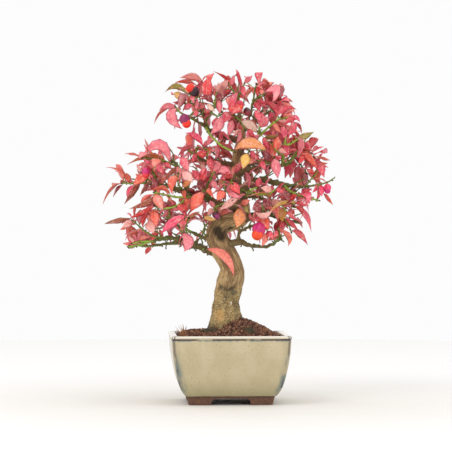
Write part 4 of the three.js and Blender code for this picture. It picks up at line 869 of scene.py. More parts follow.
class Value:
    """A number or colour that varies over a surface. Arithmetic on it adds Math nodes."""

    def __init__(self, finish, socket):
        self.finish = finish
        self.socket = socket

    def math(self, operation, *values):
        return self.finish.node("ShaderNodeMath", {"operation": operation}, dict(enumerate(values)))

    def __add__(self, other):
        return self.math("ADD", self, other)

    def __sub__(self, other):
        return self.math("SUBTRACT", self, other)

    def __rsub__(self, other):
        return self.math("SUBTRACT", other, self)

    def __mul__(self, other):
        return self.math("MULTIPLY", self, other)

    def __truediv__(self, other):
        return self.math("DIVIDE", self, other)

    def __pow__(self, other):
        return self.math("POWER", self, other)

    def __abs__(self):
        return self.math("ABSOLUTE", self)

    def least(self, other):
        return self.math("MINIMUM", self, other)

    def most(self, other):
        return self.math("MAXIMUM", self, other)

    def wave(self):
        return self.math("SINE", self)

    __radd__ = __add__
    __rmul__ = __mul__


class Finish:
    """A procedural material, in millimetres from the middle of the pot's foot."""

    def __init__(self, name):
        self.material = bpy.data.materials.new(name)
        self.material.use_nodes = True
        self.tree = self.material.node_tree
        self.tree.nodes.clear()
        here = self.node("ShaderNodeTexCoord", output="Object")
        self.place = self.node(
            "ShaderNodeMapping",
            sockets={"Vector": here, "Location": -POT_PLACE / MM, "Scale": (1 / MM, 1 / MM, 1 / MM)},
        )
        self.x, self.y, self.z = (
            self.node("ShaderNodeSeparateXYZ", sockets={0: self.place}, output=axis) for axis in range(3)
        )

    def node(self, kind, settings=None, sockets=None, output=0):
        made = self.tree.nodes.new(kind)
        for name, value in (settings or {}).items():
            setattr(made, name, value)
        for name, value in (sockets or {}).items():
            if isinstance(value, Value):
                self.tree.links.new(value.socket, made.inputs[name])
            else:
                made.inputs[name].default_value = value
        return Value(self, made.outputs[output]) if made.outputs else made

    def stretched(self, place, stretch):
        return self.node("ShaderNodeVectorMath", {"operation": "MULTIPLY"}, {0: place, 1: stretch})

    def clouds(self, place, size, detail, roughness, stretch):
        sockets = {"Vector": self.stretched(place, stretch), "Scale": 1 / size}
        sockets.update(Detail=detail, Roughness=roughness)
        return self.node("ShaderNodeTexNoise", sockets=sockets)

    def noise(self, size, detail=3, roughness=0.5, stretch=(1, 1, 1)):
        """Cloudy values from 0 to 1, with clouds of about this size in millimetres."""
        return self.clouds(self.place, size, detail, roughness, stretch)

    def grained(self, name, size, detail, roughness, stretch):
        """The same along a piece's own grain, which it holds as an attribute in millimetres."""
        return self.clouds(self.attribute(name, "Vector"), size, detail, roughness, stretch)

    def cells(self, size):
        """Distance from the middle of a cell, as a share of its size in millimetres."""
        sockets = {"Vector": self.place, "Scale": 1 / size}
        return self.node("ShaderNodeTexVoronoi", sockets=sockets, output="Distance")

    def step(self, value, low, high):
        """0 below low and 1 above high, with a soft change between."""
        settings = {"interpolation_type": "SMOOTHSTEP"}
        sockets = {"Value": value, "From Min": low, "From Max": high}
        return self.node("ShaderNodeMapRange", settings, sockets)

    def mix(self, first, second, share):
        return self.node("ShaderNodeMix", {"data_type": "RGBA"}, {0: share, 6: first, 7: second}, 2)

    def attribute(self, name, output="Color"):
        return self.node("ShaderNodeAttribute", {"attribute_name": name}, output=output)

    def across(self):
        """Distance from a leaf's midrib, 0 to 1 at its edge, and place along it from base to tip."""
        place = self.node("ShaderNodeUVMap", {"uv_map": "UVMap"})
        u, v = (self.node("ShaderNodeSeparateXYZ", sockets={0: place}, output=axis) for axis in (0, 1))
        return abs(u * 2 - 1), v

    def surface(self, base, roughness=0.5, height=None, depth=0.3, **constants):
        """The finished material; height gives a relief up to depth millimetres high."""
        sockets = {"Base Color": base, "Roughness": roughness}
        if height is not None:
            sockets["Normal"] = self.node(
                "ShaderNodeBump", sockets={"Height": height, "Distance": depth * MM, "Strength": 1}
            )
        for name, value in constants.items():
            sockets[name.replace("_", " ").title().replace("Ior", "IOR")] = value
        shader = self.node("ShaderNodeBsdfPrincipled", sockets=sockets)
        self.node("ShaderNodeOutputMaterial", sockets={"Surface": shader})
        return self.material


# Pot

def glaze():
    """Cream speckled glaze, darker and browner at the corners and breaking to blue there, over bare brown
    clay.
    """
    f = Finish("cream_glaze")
    cloud = f.noise(16, 2)
    body = f.mix(colour("BDAE8A"), colour("C6B794"), f.step(cloud, 0.35, 0.65))
    low = 1 - f.step(f.z, 7, 24)
    body = f.mix(body, colour("A39B74"), low * 0.6)
    speck = f.step(f.noise(0.55, 3), 0.56, 0.72)
    body = f.mix(body, colour("857450"), speck * 0.5)
    spot = 1 - f.step(f.cells(3.4), 0.07, 0.15)
    body = f.mix(body, colour("7C6C4C"), spot * 0.5)
    far = abs(f.x).least(abs(f.y)) / abs(f.x).most(abs(f.y))
    corner = f.step(far, 0.82, 0.96)
    # Darker and browner towards the corners.
    body = f.mix(body, colour("A69A7A"), corner * 0.5)
    runs = f.step(f.noise(4, 3, stretch=(1, 1, 0.14)), 0.4, 0.6)
    band = f.step(f.z, 7, 13) * (1 - f.step(f.z, 26, 44))
    body = f.mix(body, colour("587478"), corner * runs * band * 0.75)
    streaks = f.step(f.noise(5, 3, stretch=(1, 1, 0.2)), 0.5, 0.6)
    body = f.mix(body, colour("4A3A40"), f.step(far, 0.93, 0.99) * streaks * 0.7)
    rise = f.z - (POT_HEIGHT - LIP_HEIGHT)
    lip = f.step(rise, 0.9, 1.2)
    # The top strip of the lip is painted near white: a painted highlight along the rim, over the lip's
    # own grey cream.
    body = f.mix(body, f.mix(colour("CDC3AB"), colour("EFE9DC"), f.step(rise, 1.6, 2.6)), lip * 0.9)
    broken = f.step(f.noise(13, 2, stretch=(1, 1, 0.1)), 0.36, 0.5)
    halo = f.step(rise, -1.7, -0.4) * (1 - f.step(rise, 0.1, 0.7))
    pooled = f.step(f.noise(2, 3, stretch=(1, 1, 0.3)), 0.36, 0.6)
    body = f.mix(body, colour("4F7480"), halo * pooled * 0.65)
    line = f.step(rise, -0.6, -0.1) * (1 - f.step(rise, 0.8, 1.2))
    body = f.mix(body, colour("3A242C"), line * (broken * 0.9 + corner).least(1) * 0.95)
    ring = f.step(far, 0.93, 0.955) * (1 - f.step(far, 0.965, 0.985))
    ring += f.step(rise, 2.5, 2.8) * f.step(far, 0.9, 0.95)
    body = f.mix(body, colour("432B33"), lip * ring.least(1) * 0.85)
    fired = 1 - f.step(f.z + f.noise(6) * 0.8, GLAZE_EDGE + 0.5, GLAZE_EDGE + 0.7)
    grain = f.noise(0.8, 4)
    clay = f.mix(colour("5C4033"), colour("7E5C49"), f.step(grain, 0.35, 0.7))
    clay = f.mix(clay, colour("9A6845"), f.step(f.noise(9), 0.5, 0.68) * (1 - f.step(f.z, 1, 5)) * 0.7)
    clay = f.mix(clay, colour("4A342C"), f.step(f.z, 5.2, 6.6) * 0.6)
    base = f.mix(body, clay, fired)
    rough = 0.22 + fired * 0.63
    height = f.noise(5, 2) * (1 - fired) * 0.25 + grain * fired
    return f.surface(base, rough, height, 0.2)


def runs_through(start, end):
    """True for a top edge that runs the cutter's length."""
    return min(start.z, end.z) > 0 and abs(start.x - end.x) < 1


def arch_cutter(turn):
    """The round-shouldered gap between two feet."""
    cutter = added(bpy.ops.mesh.primitive_cube_add, "arch_cutter", size=1)
    bpy.ops.object.mode_set(mode="EDIT")
    bpy.ops.transform.resize(value=(ARCH_WIDTH, RIM + 10, 2 * ARCH_HEIGHT))
    choose(cutter, "EDGE", lambda e: runs_through(*(v.co for v in e.verts)))
    bpy.ops.mesh.bevel(offset=ARCH_SHOULDER, segments=6)
    bpy.ops.object.mode_set(mode="OBJECT")
    cutter.data.transform(Matrix.Rotation(turn, 4, "Z"))
    return cutter


def glazed_pot():
    """The bowl is drawn up from its foot ring by ring, turned in at the lip and hollowed."""
    outside = [
        (GLAZE_EDGE, RIM - 24.2), (GLAZE_EDGE + 0.35, RIM - 21.8), (8, RIM - 20.1), (9.4, RIM - 17.9),
        (11.5, RIM - 15.3), (14, RIM - 13), (18, RIM - 10.4), (22, RIM - 8.3), (30, RIM - 5),
        (40, RIM - 2), (POT_HEIGHT - LIP_HEIGHT - 0.6, RIM - 0.8),
    ]
    lip = [
        (POT_HEIGHT - LIP_HEIGHT, RIM - 1.4), (POT_HEIGHT - LIP_HEIGHT + 0.5, RIM - 0.7),
        (POT_HEIGHT - 1.8, RIM), (POT_HEIGHT - 0.9, RIM), (POT_HEIGHT - 0.3, RIM - 0.7),
        (POT_HEIGHT, RIM - 2), (POT_HEIGHT, MOUTH + 1.4), (POT_HEIGHT - 0.3, MOUTH + 0.5),
    ]
    inside = [(POT_HEIGHT - 1.2, MOUTH), (34, RIM - 16), (20, RIM - 24), (FLOOR_TOP, RIM - 38)]
    pot = added(bpy.ops.mesh.primitive_plane_add, "glazed_pot", size=FOOT)
    bpy.ops.object.mode_set(mode="EDIT")
    bpy.ops.mesh.select_all(action="SELECT")
    bpy.ops.mesh.bevel(offset=CORNER * FOOT / RIM, segments=7, affect="VERTICES")
    height, width = 0, FOOT
    for next_height, next_width in outside + lip + inside:
        rise = (0, 0, next_height - height)
        bpy.ops.mesh.extrude_region_move(TRANSFORM_OT_translate={"value": rise})
        share = next_width / width
        bpy.ops.transform.resize(value=(share, share, 1), center_override=(0, 0, 0))
        height, width = next_height, next_width
    bpy.ops.mesh.select_all(action="SELECT")
    bpy.ops.mesh.normals_make_consistent(inside=False)
    bpy.ops.object.mode_set(mode="OBJECT")
    recess = added(
        bpy.ops.mesh.primitive_cube_add, "recess", size=RECESS_WIDTH,
        location=(0, 0, RECESS - RECESS_WIDTH / 2),
    )
    drain = added(
        bpy.ops.mesh.primitive_cylinder_add, "drain", radius=DRAIN_RADIUS, depth=3 * FLOOR_TOP,
        vertices=40,
    )
    for cutter in (recess, drain, arch_cutter(0), arch_cutter(math.pi / 2)):
        modify(pot, "BOOLEAN", object=cutter, operation="DIFFERENCE")
        bpy.data.objects.remove(cutter)
    sharp = math.radians(50)
    modify(pot, "BEVEL", width=0.35, segments=2, limit_method="ANGLE", angle_limit=sharp)
    smooth(pot, 40)
    settle(pot, glaze(), "pot")


def drain_pieces():
    """The plastic mesh over the drain hole, and the wire that holds it."""
    f = Finish("mesh_plastic")
    dust = f.step(f.noise(3), 0.45, 0.7)
    plastic = f.surface(f.mix(colour("20281F"), colour("5A4A38"), dust * 0.5), 0.5 + dust * 0.3)
    f = Finish("clip_wire")
    stain = f.step(f.noise(2, 4), 0.4, 0.7)
    wire = f.surface(f.mix(colour("B87850"), colour("5E4434"), stain), 0.3 + stain * 0.4, Metallic=0.9)
    for node, finish in (("drainage_mesh", plastic), ("mesh_clip", wire)):
        for each in bpy.data.objects[node].material_slots:
            each.material = finish


# Soil, moss and dry grass

def soil_height(x, y):
    """Height of the soil above the pot's foot: level near the walls, mounded at the trunk."""
    inside = max(0, 1 - 2 * max(abs(x), abs(y)) / HOLLOW)
    level = SOIL_EDGE + (SOIL_LEVEL - SOIL_EDGE) * min(1, inside * 4)
    far = (x - MOUND_X) ** 2 + (y - MOUND_Y) ** 2
    return level + MOUND * math.exp(-far / (2 * MOUND_SPREAD ** 2)) * min(1, inside * 3)


def granule_clay():
    """Crumbly fired clay, tinted granule by granule."""
    f = Finish("soil_granules")
    tint = f.attribute("tint")
    crumb = f.noise(0.7, 4)
    base = f.mix(tint, colour("C08A60"), f.step(crumb, 0.55, 0.8) * 0.35)
    base = f.mix(base, colour("3A2018"), (1 - f.step(crumb, 0.25, 0.45)) * 0.6)
    return f.surface(base, 0.95, crumb, 0.4)


def paint(piece, tones):
    """Gives a piece's vertices their tints: one tone for all, or one for each."""
    layer = piece.data.color_attributes.new("tint", "FLOAT_COLOR", "POINT")
    count = len(piece.data.vertices)
    each = tones if isinstance(tones, list) else [tones] * count
    layer.data.foreach_set("color", [part for tone in each for part in tone])


def copies_of(name, master, places, tones):
    """One mesh of many copies of a small shape, each moved by a matrix and tinted."""
    corners = [v.co.copy() for v in master.data.vertices]
    sides = [tuple(p.vertices) for p in master.data.polygons]
    points, faces, tints = [], [], []
    for matrix, tone in zip(places, tones):
        start = len(points)
        points += [matrix @ c for c in corners]
        faces += [tuple(start + k for k in side) for side in sides]
        tints += [tone] * len(corners)
    mesh = bpy.data.meshes.new(name)
    mesh.from_pydata(points, [], faces)
    piece = bpy.data.objects.new(name, mesh)
    bpy.context.collection.objects.link(piece)
    paint(piece, tints)
    return piece


def turned(chance, place, scale):
    """A matrix that turns a shape any way, sizes it and puts it in a place."""
    turn = Matrix.Rotation(chance.uniform(0, FULL_TURN), 4, "Z")
    turn @= Matrix.Rotation(chance.uniform(0, FULL_TURN), 4, "X")
    return Matrix.Translation(place) @ turn @ Matrix.Diagonal((*scale, 1))


def soil():
    """A bed with a mound around the trunk, covered with fired clay granules."""
    bed = added(
        bpy.ops.mesh.primitive_grid_add, "soil_bed", size=HOLLOW - 0.6, x_subdivisions=60,
        y_subdivisions=60,
    )
    for corner in bed.data.vertices:
        x, y, _ = corner.co
        corner.co.z = soil_height(x, y) - 0.7 + 0.5 * noise.noise(Vector((x, y, 0)) * 0.6)
    bpy.ops.object.mode_set(mode="EDIT")
    bpy.ops.mesh.select_all(action="SELECT")
    bpy.ops.mesh.extrude_region_move(TRANSFORM_OT_translate={"value": (0, 0, -36)})
    bottom = (0, 0, FLOOR_TOP + 1.4)
    bpy.ops.transform.resize(value=(SOIL_TAPER, SOIL_TAPER, 0), center_override=bottom)
    bpy.ops.mesh.select_all(action="SELECT")
    bpy.ops.mesh.normals_make_consistent(inside=False)
    bpy.ops.object.mode_set(mode="OBJECT")
    smooth(bed, 50)
    # The bed shows only in the gaps between the granules; its near black tint is painted shade for those
    # gaps.
    paint(bed, colour("2C1A12"))
    clay = granule_clay()
    settle(bed, clay, "soil")

    add_ball = bpy.ops.mesh.primitive_ico_sphere_add
    crumb = added(add_ball, "crumb", subdivisions=1, radius=1)
    for corner in crumb.data.vertices:
        corner.co *= 1 + 0.3 * noise.noise(corner.co * 3)
    chance = random.Random(5)
    places, tones = [], []
    rows = int(HOLLOW / GRANULE_PITCH)
    for i in range(rows):
        for j in range(rows):
            x = (i + 0.5 - rows / 2) * GRANULE_PITCH + chance.uniform(-0.6, 0.6)
            y = (j + 0.5 - rows / 2) * GRANULE_PITCH + chance.uniform(-0.6, 0.6)
            size = chance.choice(GRANULES)
            if max(abs(x), abs(y)) > HOLLOW / 2 - 0.3 - size:
                continue
            scale = [size * chance.uniform(0.75, 1.15) for _ in range(3)]
            z = soil_height(x, y) - 0.5 + chance.uniform(-0.3, 0.6)
            places.append(turned(chance, (x, y, z), scale))
            tones.append(chance.choice(SOIL_TONES))
    grains = copies_of("soil_granules", crumb, places, tones)
    bpy.data.objects.remove(crumb)
    settle(grains, clay, "soil")


def moss():
    """Two low, lumpy cushions that follow the soil."""
    f = Finish("moss")
    tuft = f.noise(0.8, 4)
    green = f.mix(colour("231F14"), colour("524F32"), f.step(tuft, 0.35, 0.7))
    green = f.mix(green, colour("6A4630"), f.step(f.noise(4), 0.52, 0.66) * 0.7)
    finish = f.surface(green, 1.0, tuft, 0.8)
    for node, x, y, radius, height in MOSS:
        add_ball = bpy.ops.mesh.primitive_ico_sphere_add
        cushion = added(add_ball, node + "_cushion", subdivisions=5, radius=1)
        base = Vector((x, y, soil_height(x, y) - 0.4))
        for corner in cushion.data.vertices:
            out = corner.co.copy()
            place = Vector((out.x * radius, out.y * radius * 0.8, out.z * height))
            lump = 0.35 * noise.noise(place * 0.35) + 0.12 * noise.noise(place * 1.6)
            place = place * (0.86 + lump) + out * 0.25 * noise.noise(place * 5)
            place.z += soil_height(x + place.x, y + place.y) - soil_height(x, y)
            corner.co = base + place
        smooth(cushion)
        settle(cushion, finish, node)


def dry_grass():
    """A dry tuft near the left corner."""
    f = Finish("dry_grass")
    fibre = f.noise(1.2, 3, stretch=(1, 1, 0.2))
    straw = f.surface(f.mix(colour("7E4E2C"), colour("B88656"), fibre), 0.8, fibre, 0.1)
    runs = []
    chance = random.Random(8)
    root = Vector(GRASS_ROOT)
    for end in GRASS_TIPS:
        for _ in range(2):
            spread = Vector([chance.uniform(-1.4, 1.4) for _ in range(3)])
            start = root + Vector((spread.y, spread.x, 0)) * 0.7
            tip = Vector(end) + spread
            middle = start.lerp(tip, 0.55) + UP * chance.uniform(0.3, 1.8)
            points = curved([start, middle, tip], 8)
            runs.append((points, spread_over([0.3, 0.24, 0.07], 8)))
    blades = tubes("dry_grass_tuft", runs, 1)
    smooth(blades)
    settle(blades, straw, "dry_grass")


# Wood

def old_bark():
    """Tan bark with fine lengthwise grain, mottled and flaking low down, with painted shade in its
    hollows and creases.
    """
    f = Finish("trunk_bark")
    grain = f.grained("grain", 1.1, 4, 0.65, (1, 1, 0.12))
    broad = f.grained("grain", 5, 3, 0.5, (1, 1, 0.25))
    cloud = f.noise(7, 5, 0.6)
    fine = f.noise(0.9, 4, 0.65)
    old = 1 - f.step(f.z + (f.noise(12) - 0.5) * 10, 82, 92)
    upper = f.mix(colour("8C6F4A"), colour("BE9E6E"), f.step(broad, 0.36, 0.62))
    upper = f.mix(upper, colour("DCC08E"), f.step(grain, 0.53, 0.66) * 0.75)
    upper = f.mix(upper, colour("5E472E"), (1 - f.step(grain, 0.34, 0.47)) * 0.75)
    upper = f.mix(upper, colour("6C5234"), (1 - f.step(fine, 0.36, 0.46)) * 0.5)
    lower = f.mix(colour("7A6440"), colour("B89864"), f.step(cloud, 0.36, 0.6))
    lower = f.mix(lower, colour("DEC792"), f.step(fine, 0.53, 0.62) * 0.7)
    lower = f.mix(lower, colour("3C3322"), (1 - f.step(fine, 0.37, 0.47)) * 0.8)
    flake = (1 - f.step(f.cells(4.2), 0.16, 0.26)) * f.step(f.noise(5), 0.5, 0.6)
    lower = f.mix(lower, colour("E2D8BA"), flake * 0.6)
    green = f.step(f.noise(3.5, 4), 0.53, 0.62)
    lower = f.mix(lower, colour("5A5E38"), green * 0.5)
    base = f.mix(upper, lower, old)
    for tone, x, z, wide, high, share in BARK_SPOTS:
        off = ((f.x - x) / wide) ** 2 + ((f.z - z) / high) ** 2 + (f.noise(1.8, 4) - 0.5) * 3
        front = 1 - f.step(f.y, -4, 0)
        base = f.mix(base, colour(tone), (1 - f.step(off, 0.3, 1.4)) * front * share)
    foot = 1 - f.step(f.z + f.x * 0.35 + f.noise(4) * 7, 54, 62)
    base = f.mix(base, colour("34332A"), foot * 0.8)
    # Painted shade: the trunk's hollows and the crease under its swelling are darkened towards near black
    # brown.
    pit = f.attribute("pit", "Fac")
    shade = pit * 1.5 + (f.noise(3, 4) - 0.5) * 0.5
    base = f.mix(base, colour("281C0F"), f.step(shade, 0.15, 1.2) * 0.92)
    height = grain * (1 - old) * 0.6 + fine * old + cloud * 0.5 + flake * 0.3
    return f.surface(base, 0.85, height, 0.7)


def young_bark():
    """Dark olive brown bark of the branches, greener towards their ends."""
    f = Finish("branch_bark")
    fine = f.noise(0.9, 4, 0.6)
    age = f.attribute("tint")
    base = f.mix(age, colour("241A12"), (1 - f.step(fine, 0.32, 0.48)) * 0.6)
    base = f.mix(base, colour("7E6E48"), f.step(fine, 0.6, 0.75) * 0.45)
    return f.surface(base, 0.85, fine, 0.5)


def nearness(place, spot, radius):
    """1 at the spot, falling softly to 0 beyond its radius."""
    return math.exp(-((place - spot).length / radius) ** 2)


def trunk():
    """One limb with spreading roots, grown together and then given its ridges and hollows."""
    line = [seen(*place[:3]) for place in TRUNK_LINE]
    steps = TRUNK_STEPS
    middle = curved(line, steps)
    runs = [(middle, spread_over([place[3] for place in TRUNK_LINE], steps))]
    for start, end, *places in ROOTS:
        points = curved([seen(*p) for p in places], 16)
        runs.append((points, spread_over([start, end], 16)))
    wood = tubes("trunk_wood", runs, 8)
    modify(wood, "REMESH", mode="VOXEL", voxel_size=0.6)
    modify(wood, "SMOOTH", factor=0.5, iterations=8)
    nearest = KDTree(steps + 1)
    lengths, sides, side = [0], [], Vector((1, 0, 0))
    for k, point in enumerate(middle):
        nearest.insert(point, k)
        along = (middle[min(k + 1, steps)] - middle[max(k - 1, 0)]).normalized()
        side = (side - along * side.dot(along)).normalized()
        sides.append((side, along.cross(side), along))
        lengths.append(lengths[-1] + (middle[min(k + 1, steps)] - point).length)
    nearest.balance()
    # The hollows and the crease are sunk into the wood, and their depth is also kept to paint shade into
    # them.
    crease = curved([seen(*spot) for spot in TRUNK_CREASE], 14)
    hollows = [(seen(*spot), radius, 1) for spot, radius in TRUNK_HOLLOWS]
    hollows += [(spot, CREASE_RADIUS, 0.65) for spot in crease]
    swellings = [(seen(*spot), radius) for spot, radius in TRUNK_SWELLINGS]
    hollow_shades, grain = [], []
    for corner, normal in zip(wood.data.vertices, [v.normal.copy() for v in wood.data.vertices]):
        point, k, _ = nearest.find(corner.co)
        across, through, along = sides[k]
        off = corner.co - point
        place = Vector((off.dot(across), off.dot(through), lengths[k] + off.dot(along)))
        grain.extend(place)
        young = min(1, max(0, (corner.co.z - 84) / 12))
        ridges = noise.noise(Vector((place.x * 0.3, place.y * 0.3, place.z * 0.05)))
        fibres = noise.noise(Vector((place.x * 0.9, place.y * 0.9, place.z * 0.12)))
        knots = noise.noise(corner.co * 0.17)
        flakes = noise.noise(corner.co * 0.7) * (1 - young)
        deep = max(share * nearness(corner.co, spot, radius) for spot, radius, share in hollows)
        swell = max(nearness(corner.co, spot, radius) for spot, radius in swellings)
        relief = 0.9 * ridges + 0.8 * knots + 0.35 * fibres * young + 0.5 * flakes
        corner.co += normal * (relief - 2.2 * deep + 3 * swell)
        hollow_shades.append(deep)
    # The depth of each hollow, kept for the bark's painted shade.
    wood.data.attributes.new("pit", "FLOAT", "POINT").data.foreach_set("value", hollow_shades)
    wood.data.attributes.new("grain", "FLOAT_VECTOR", "POINT").data.foreach_set("vector", grain)
    smooth(wood)
    settle(wood, old_bark(), "trunk")


def branches():
    """Knobby branches that swell where they leave the wood, with spurs and fine twigs."""
    chance = random.Random(12)
    runs, spurs, fine = [], [], []
    for start, end, *places in BRANCHES:
        line = [seen(*p) for p in places]
        steps = max(6, int(length_of(line) / 0.9))
        points = curved(line, steps)
        radii = spread_over([start, end], steps)
        for k in range(steps + 1):
            knob = 1 + 0.3 * noise.noise(points[k] * 0.45) + 0.35 * noise.noise(points[k] * 1.3)
            flare = 0.85 + 0.3 * max(0, 1 - k / steps * 6)
            radii[k] *= knob * flare
            if 0 < k < steps:
                spot = points[k] * 0.35
                points[k] += 0.9 * Vector([noise.noise(spot + UP * 9 * axis) for axis in range(3)])
        runs.append((points, radii))
        for k in range(3, steps - 1):
            if chance.random() < 0.3:
                along = (points[k + 1] - points[k]).normalized()
                out = along.orthogonal().normalized()
                out.rotate(Matrix.Rotation(chance.uniform(0, FULL_TURN), 3, along))
                reach = chance.uniform(0.8, 3.6)
                tip = points[k] + out * (radii[k] + reach) + along * reach * 0.4
                middle = points[k].lerp(tip, 0.6) + along * 0.3
                spurs.append((curved([points[k], middle, tip], 4), [0.6, 0.55, 0.45, 0.65, 0.35]))
            if chance.random() < FINE_TWIGS and k > steps * 0.25:
                along = (points[k + 1] - points[k]).normalized()
                way = Vector([chance.uniform(-1, 1) for _ in range(3)])
                way.z = abs(way.z) + 0.2
                reach = chance.uniform(6, 15)
                middle = points[k] + (along * 0.4 + way.normalized()) * reach * 0.5
                tip = points[k] + (along + way.normalized()) * reach * 0.7 + UP * 1.5
                shape = curved([points[k], middle, tip], 8)
                fine.append((shape, [0.6 + 0.12 * (i % 3 == 0) - 0.025 * i for i in range(9)]))
    wood = tubes("branch_wood", runs, 3)
    for corner, normal in zip(wood.data.vertices, [v.normal.copy() for v in wood.data.vertices]):
        corner.co += normal * 0.3 * noise.noise(corner.co * 1.4)
    knots = tubes("branch_spurs", spurs, 1)
    twigs = tubes("branch_twigs", fine, 2)
    paint(twigs, colour("6E8234"))
    smooth(twigs)
    settle(twigs, twig_skin(), "trunk")
    old, young = colour("806648"), colour("6C703A")
    for piece in (wood, knots):
        tones = []
        for corner in piece.data.vertices:
            far = min(1, Vector((corner.co.x - 2, corner.co.y)).length / 50)
            tones.append(tuple(a + (b - a) * far for a, b in zip(old, young)))
        paint(piece, tones)
        smooth(piece)
    bark = young_bark()
    settle(wood, bark, "trunk")
    settle(knots, bark, "trunk")


# Leafy shoots

def near_twig(twigs, x, z):
    """The place on the twigs nearest to where a leaf's base looks to be."""
    best = None
    for places in twigs:
        for a, b in zip(places, places[1:]):
            run = (b[0] - a[0]) ** 2 + (b[2] - a[2]) ** 2
            t = ((x - a[0]) * (b[0] - a[0]) + (z - a[2]) * (b[2] - a[2])) / run
            t = min(1, max(0, t))
            near = [a[k] + (b[k] - a[k]) * t for k in range(3)]
            far = math.hypot(x - near[0], z - near[2])
            if best is None or far < best[0]:
                best = (far, near)
    return best[1]


def front_leaf(shoot, entry, seed):
    """A leaf as it looks from the front, turned about its length until it looks as wide."""
    tone, width, *places = entry
    base_x, base_z = places[:2]
    tip_x, tip_z = places[-2:]
    root = near_twig(shoot.twigs, base_x, base_z)
    looks = math.hypot(tip_x - base_x, tip_z - base_z)
    lean = shoot.facing * math.sqrt(max(0, LEAF_LENGTH ** 2 - looks ** 2))
    base = seen(base_x, root[1], base_z)
    tip = seen(tip_x, root[1] + lean, tip_z)
    if len(places) == 6:
        middle = seen(places[2], root[1] + lean / 2, places[3])
    else:
        middle = base.lerp(tip, 0.5) + UP * looks * LEAF_ARCH
    along = (tip - base).normalized()
    full = max(width, LEAF_SHAPE * min((tip - base).length, LEAF_LENGTH))
    roll = math.acos(min(1, width / full))
    face = (TO_EYE - along * TO_EYE.dot(along)).normalized()
    side = along.cross(face)
    face.rotate(Matrix.Rotation(-roll if side.z > 0 else roll, 3, along))
    return Leaf(seen(*root), base, middle, tip, face, full, TONES[tone], seed)


def grown_leaf(points, share, index, chance, tone):
    """A leaf in its natural place on a twig: in pairs, each pair crossing the last."""
    t = share * (len(points) - 1)
    k = min(int(t), len(points) - 2)
    root = points[k].lerp(points[k + 1], t - k)
    along = (points[k + 1] - points[k]).normalized()
    turn = index % 2 * math.pi + index // 2 * math.pi / 2 + chance.random() - 0.5
    side = along.cross(UP).normalized()
    side.rotate(Matrix.Rotation(turn, 3, along))
    reach = (along * 0.5 + side + UP * 0.15).normalized()
    length = LEAF_LENGTH * (0.75 + 0.4 * chance.random())
    droop = 0.1 + 0.35 * chance.random()
    base = root + reach * STALK_LENGTH
    middle = base + reach * length * 0.5 + UP * length * LEAF_ARCH
    tip = base + reach * length * 0.94 - UP * length * droop
    face = UP + reach * (0.1 * (chance.random() - 0.5) - UP.dot(reach))
    across = reach.cross(face).normalized()
    face = (face + across * (chance.random() - 0.5)).normalized()
    return Leaf(root, base, middle, tip, face, LEAF_SHAPE * length, tone, chance.randrange(10 ** 6))


def repeatable(seed):
    """The same draws in the same order for a seed."""
    state = seed * 7919
    while True:
        state = state * 16807 % 2147483647
        yield state / 2147483647


class Draws:
    """Draws for the leaves that the solid model also grows, in the same order as there."""

    def __init__(self, seed):
        self.values = repeatable(seed)
        self.spare = random.Random(seed)

    def random(self):
        return next(self.values)

    def randrange(self, top):
        return self.spare.randrange(top)


def leaves_of(name, shoot):
    """The listed leaves of a shoot, then those that it grows by rule."""
    seed = shoot.seed * 100
    leaves = [front_leaf(shoot, entry, seed + k) for k, entry in enumerate(shoot.leaves)]
    chance = Draws(shoot.seed)
    count = len(shoot.twigs)
    lines = [curved([seen(*p) for p in places], 24) for places in shoot.twigs]
    share = max(1, math.ceil(shoot.more / count))
    for i in range(shoot.more):
        place = 0.2 + 0.8 * (i // count + 0.5) / share
        tone = TONES[COMMON_TONES[chance.randrange(len(COMMON_TONES))]]
        leaves.append(grown_leaf(lines[i % count], place, i // count, chance, tone))
    outline = [leaf.tip for leaf in leaves] + [point for line in lines for point in line]
    extra = random.Random(shoot.seed + 500)
    few = {0: FILL_BACK, 1: 0}.get(len(shoot.leaves), FILL_FRONT)
    for i in range(few * (2 if name in DENSE_SHOOTS else 1)):
        # Leaves grown by rule take the darker tones, as painted shade inside the crown.
        tone = TONES[extra.choice(DEEP_SHADE_TONES)]
        leaf = grown_leaf(lines[i % count], extra.uniform(0.1, 1), i + 1, extra, tone)
        leaf = shrunk(leaf, extra.uniform(0.6, 1.1))
        leaf = leaf._replace(tip=leaf.tip + UP * extra.uniform(1, 5), width=leaf.width * 1.15)
        if shoot.leaves and (leaf.tip - leaf.root).dot(TO_EYE) > 0:
            leaf = behind(leaf)
        if within_box(leaf) and (not shoot.leaves or within_outline(leaf, outline)):
            leaves.append(leaf)
    listed = len(shoot.leaves)
    return leaves[:listed] + [raised(leaf) for leaf in leaves[listed:]]


def raised(leaf):
    """The leaf lifted where it would hang below the crown."""
    if leaf.tip.z > LOWEST_LEAF:
        return leaf
    rise = UP * (leaf.base.z - leaf.tip.z)
    return leaf._replace(middle=leaf.middle + rise, tip=leaf.tip + 2 * rise)


def shrunk(leaf, share):
    """The leaf made smaller about the place where it grows."""
    base, middle, tip = (leaf.root.lerp(place, share) for place in (leaf.base, leaf.middle, leaf.tip))
    return leaf._replace(base=base, middle=middle, tip=tip, width=leaf.width * share)


def behind(leaf):
    """The leaf turned to the far side of its twig."""
    def far(place):
        return place - 2 * TO_EYE * max(0, (place - leaf.root).dot(TO_EYE))

    return leaf._replace(base=far(leaf.base), middle=far(leaf.middle), tip=far(leaf.tip))


def within_box(leaf):
    """False for a leaf that would reach past the solid model's box."""
    low, high = ((corner - POT_PLACE) / MM for corner in cad_box)
    margin = Vector((3, 3, 3))
    low, high = low + margin, high - margin
    return all(low[k] < place[k] < high[k] for place in (leaf.middle, leaf.tip) for k in range(3))


def within_outline(leaf, places):
    """False for a leaf that would reach past the outline of its shoot as seen from the front."""
    low_x, high_x = min(p.x for p in places) - 1, max(p.x for p in places) + 1
    return low_x < leaf.tip.x < high_x and leaf.tip.z > min(p.z for p in places) - 2


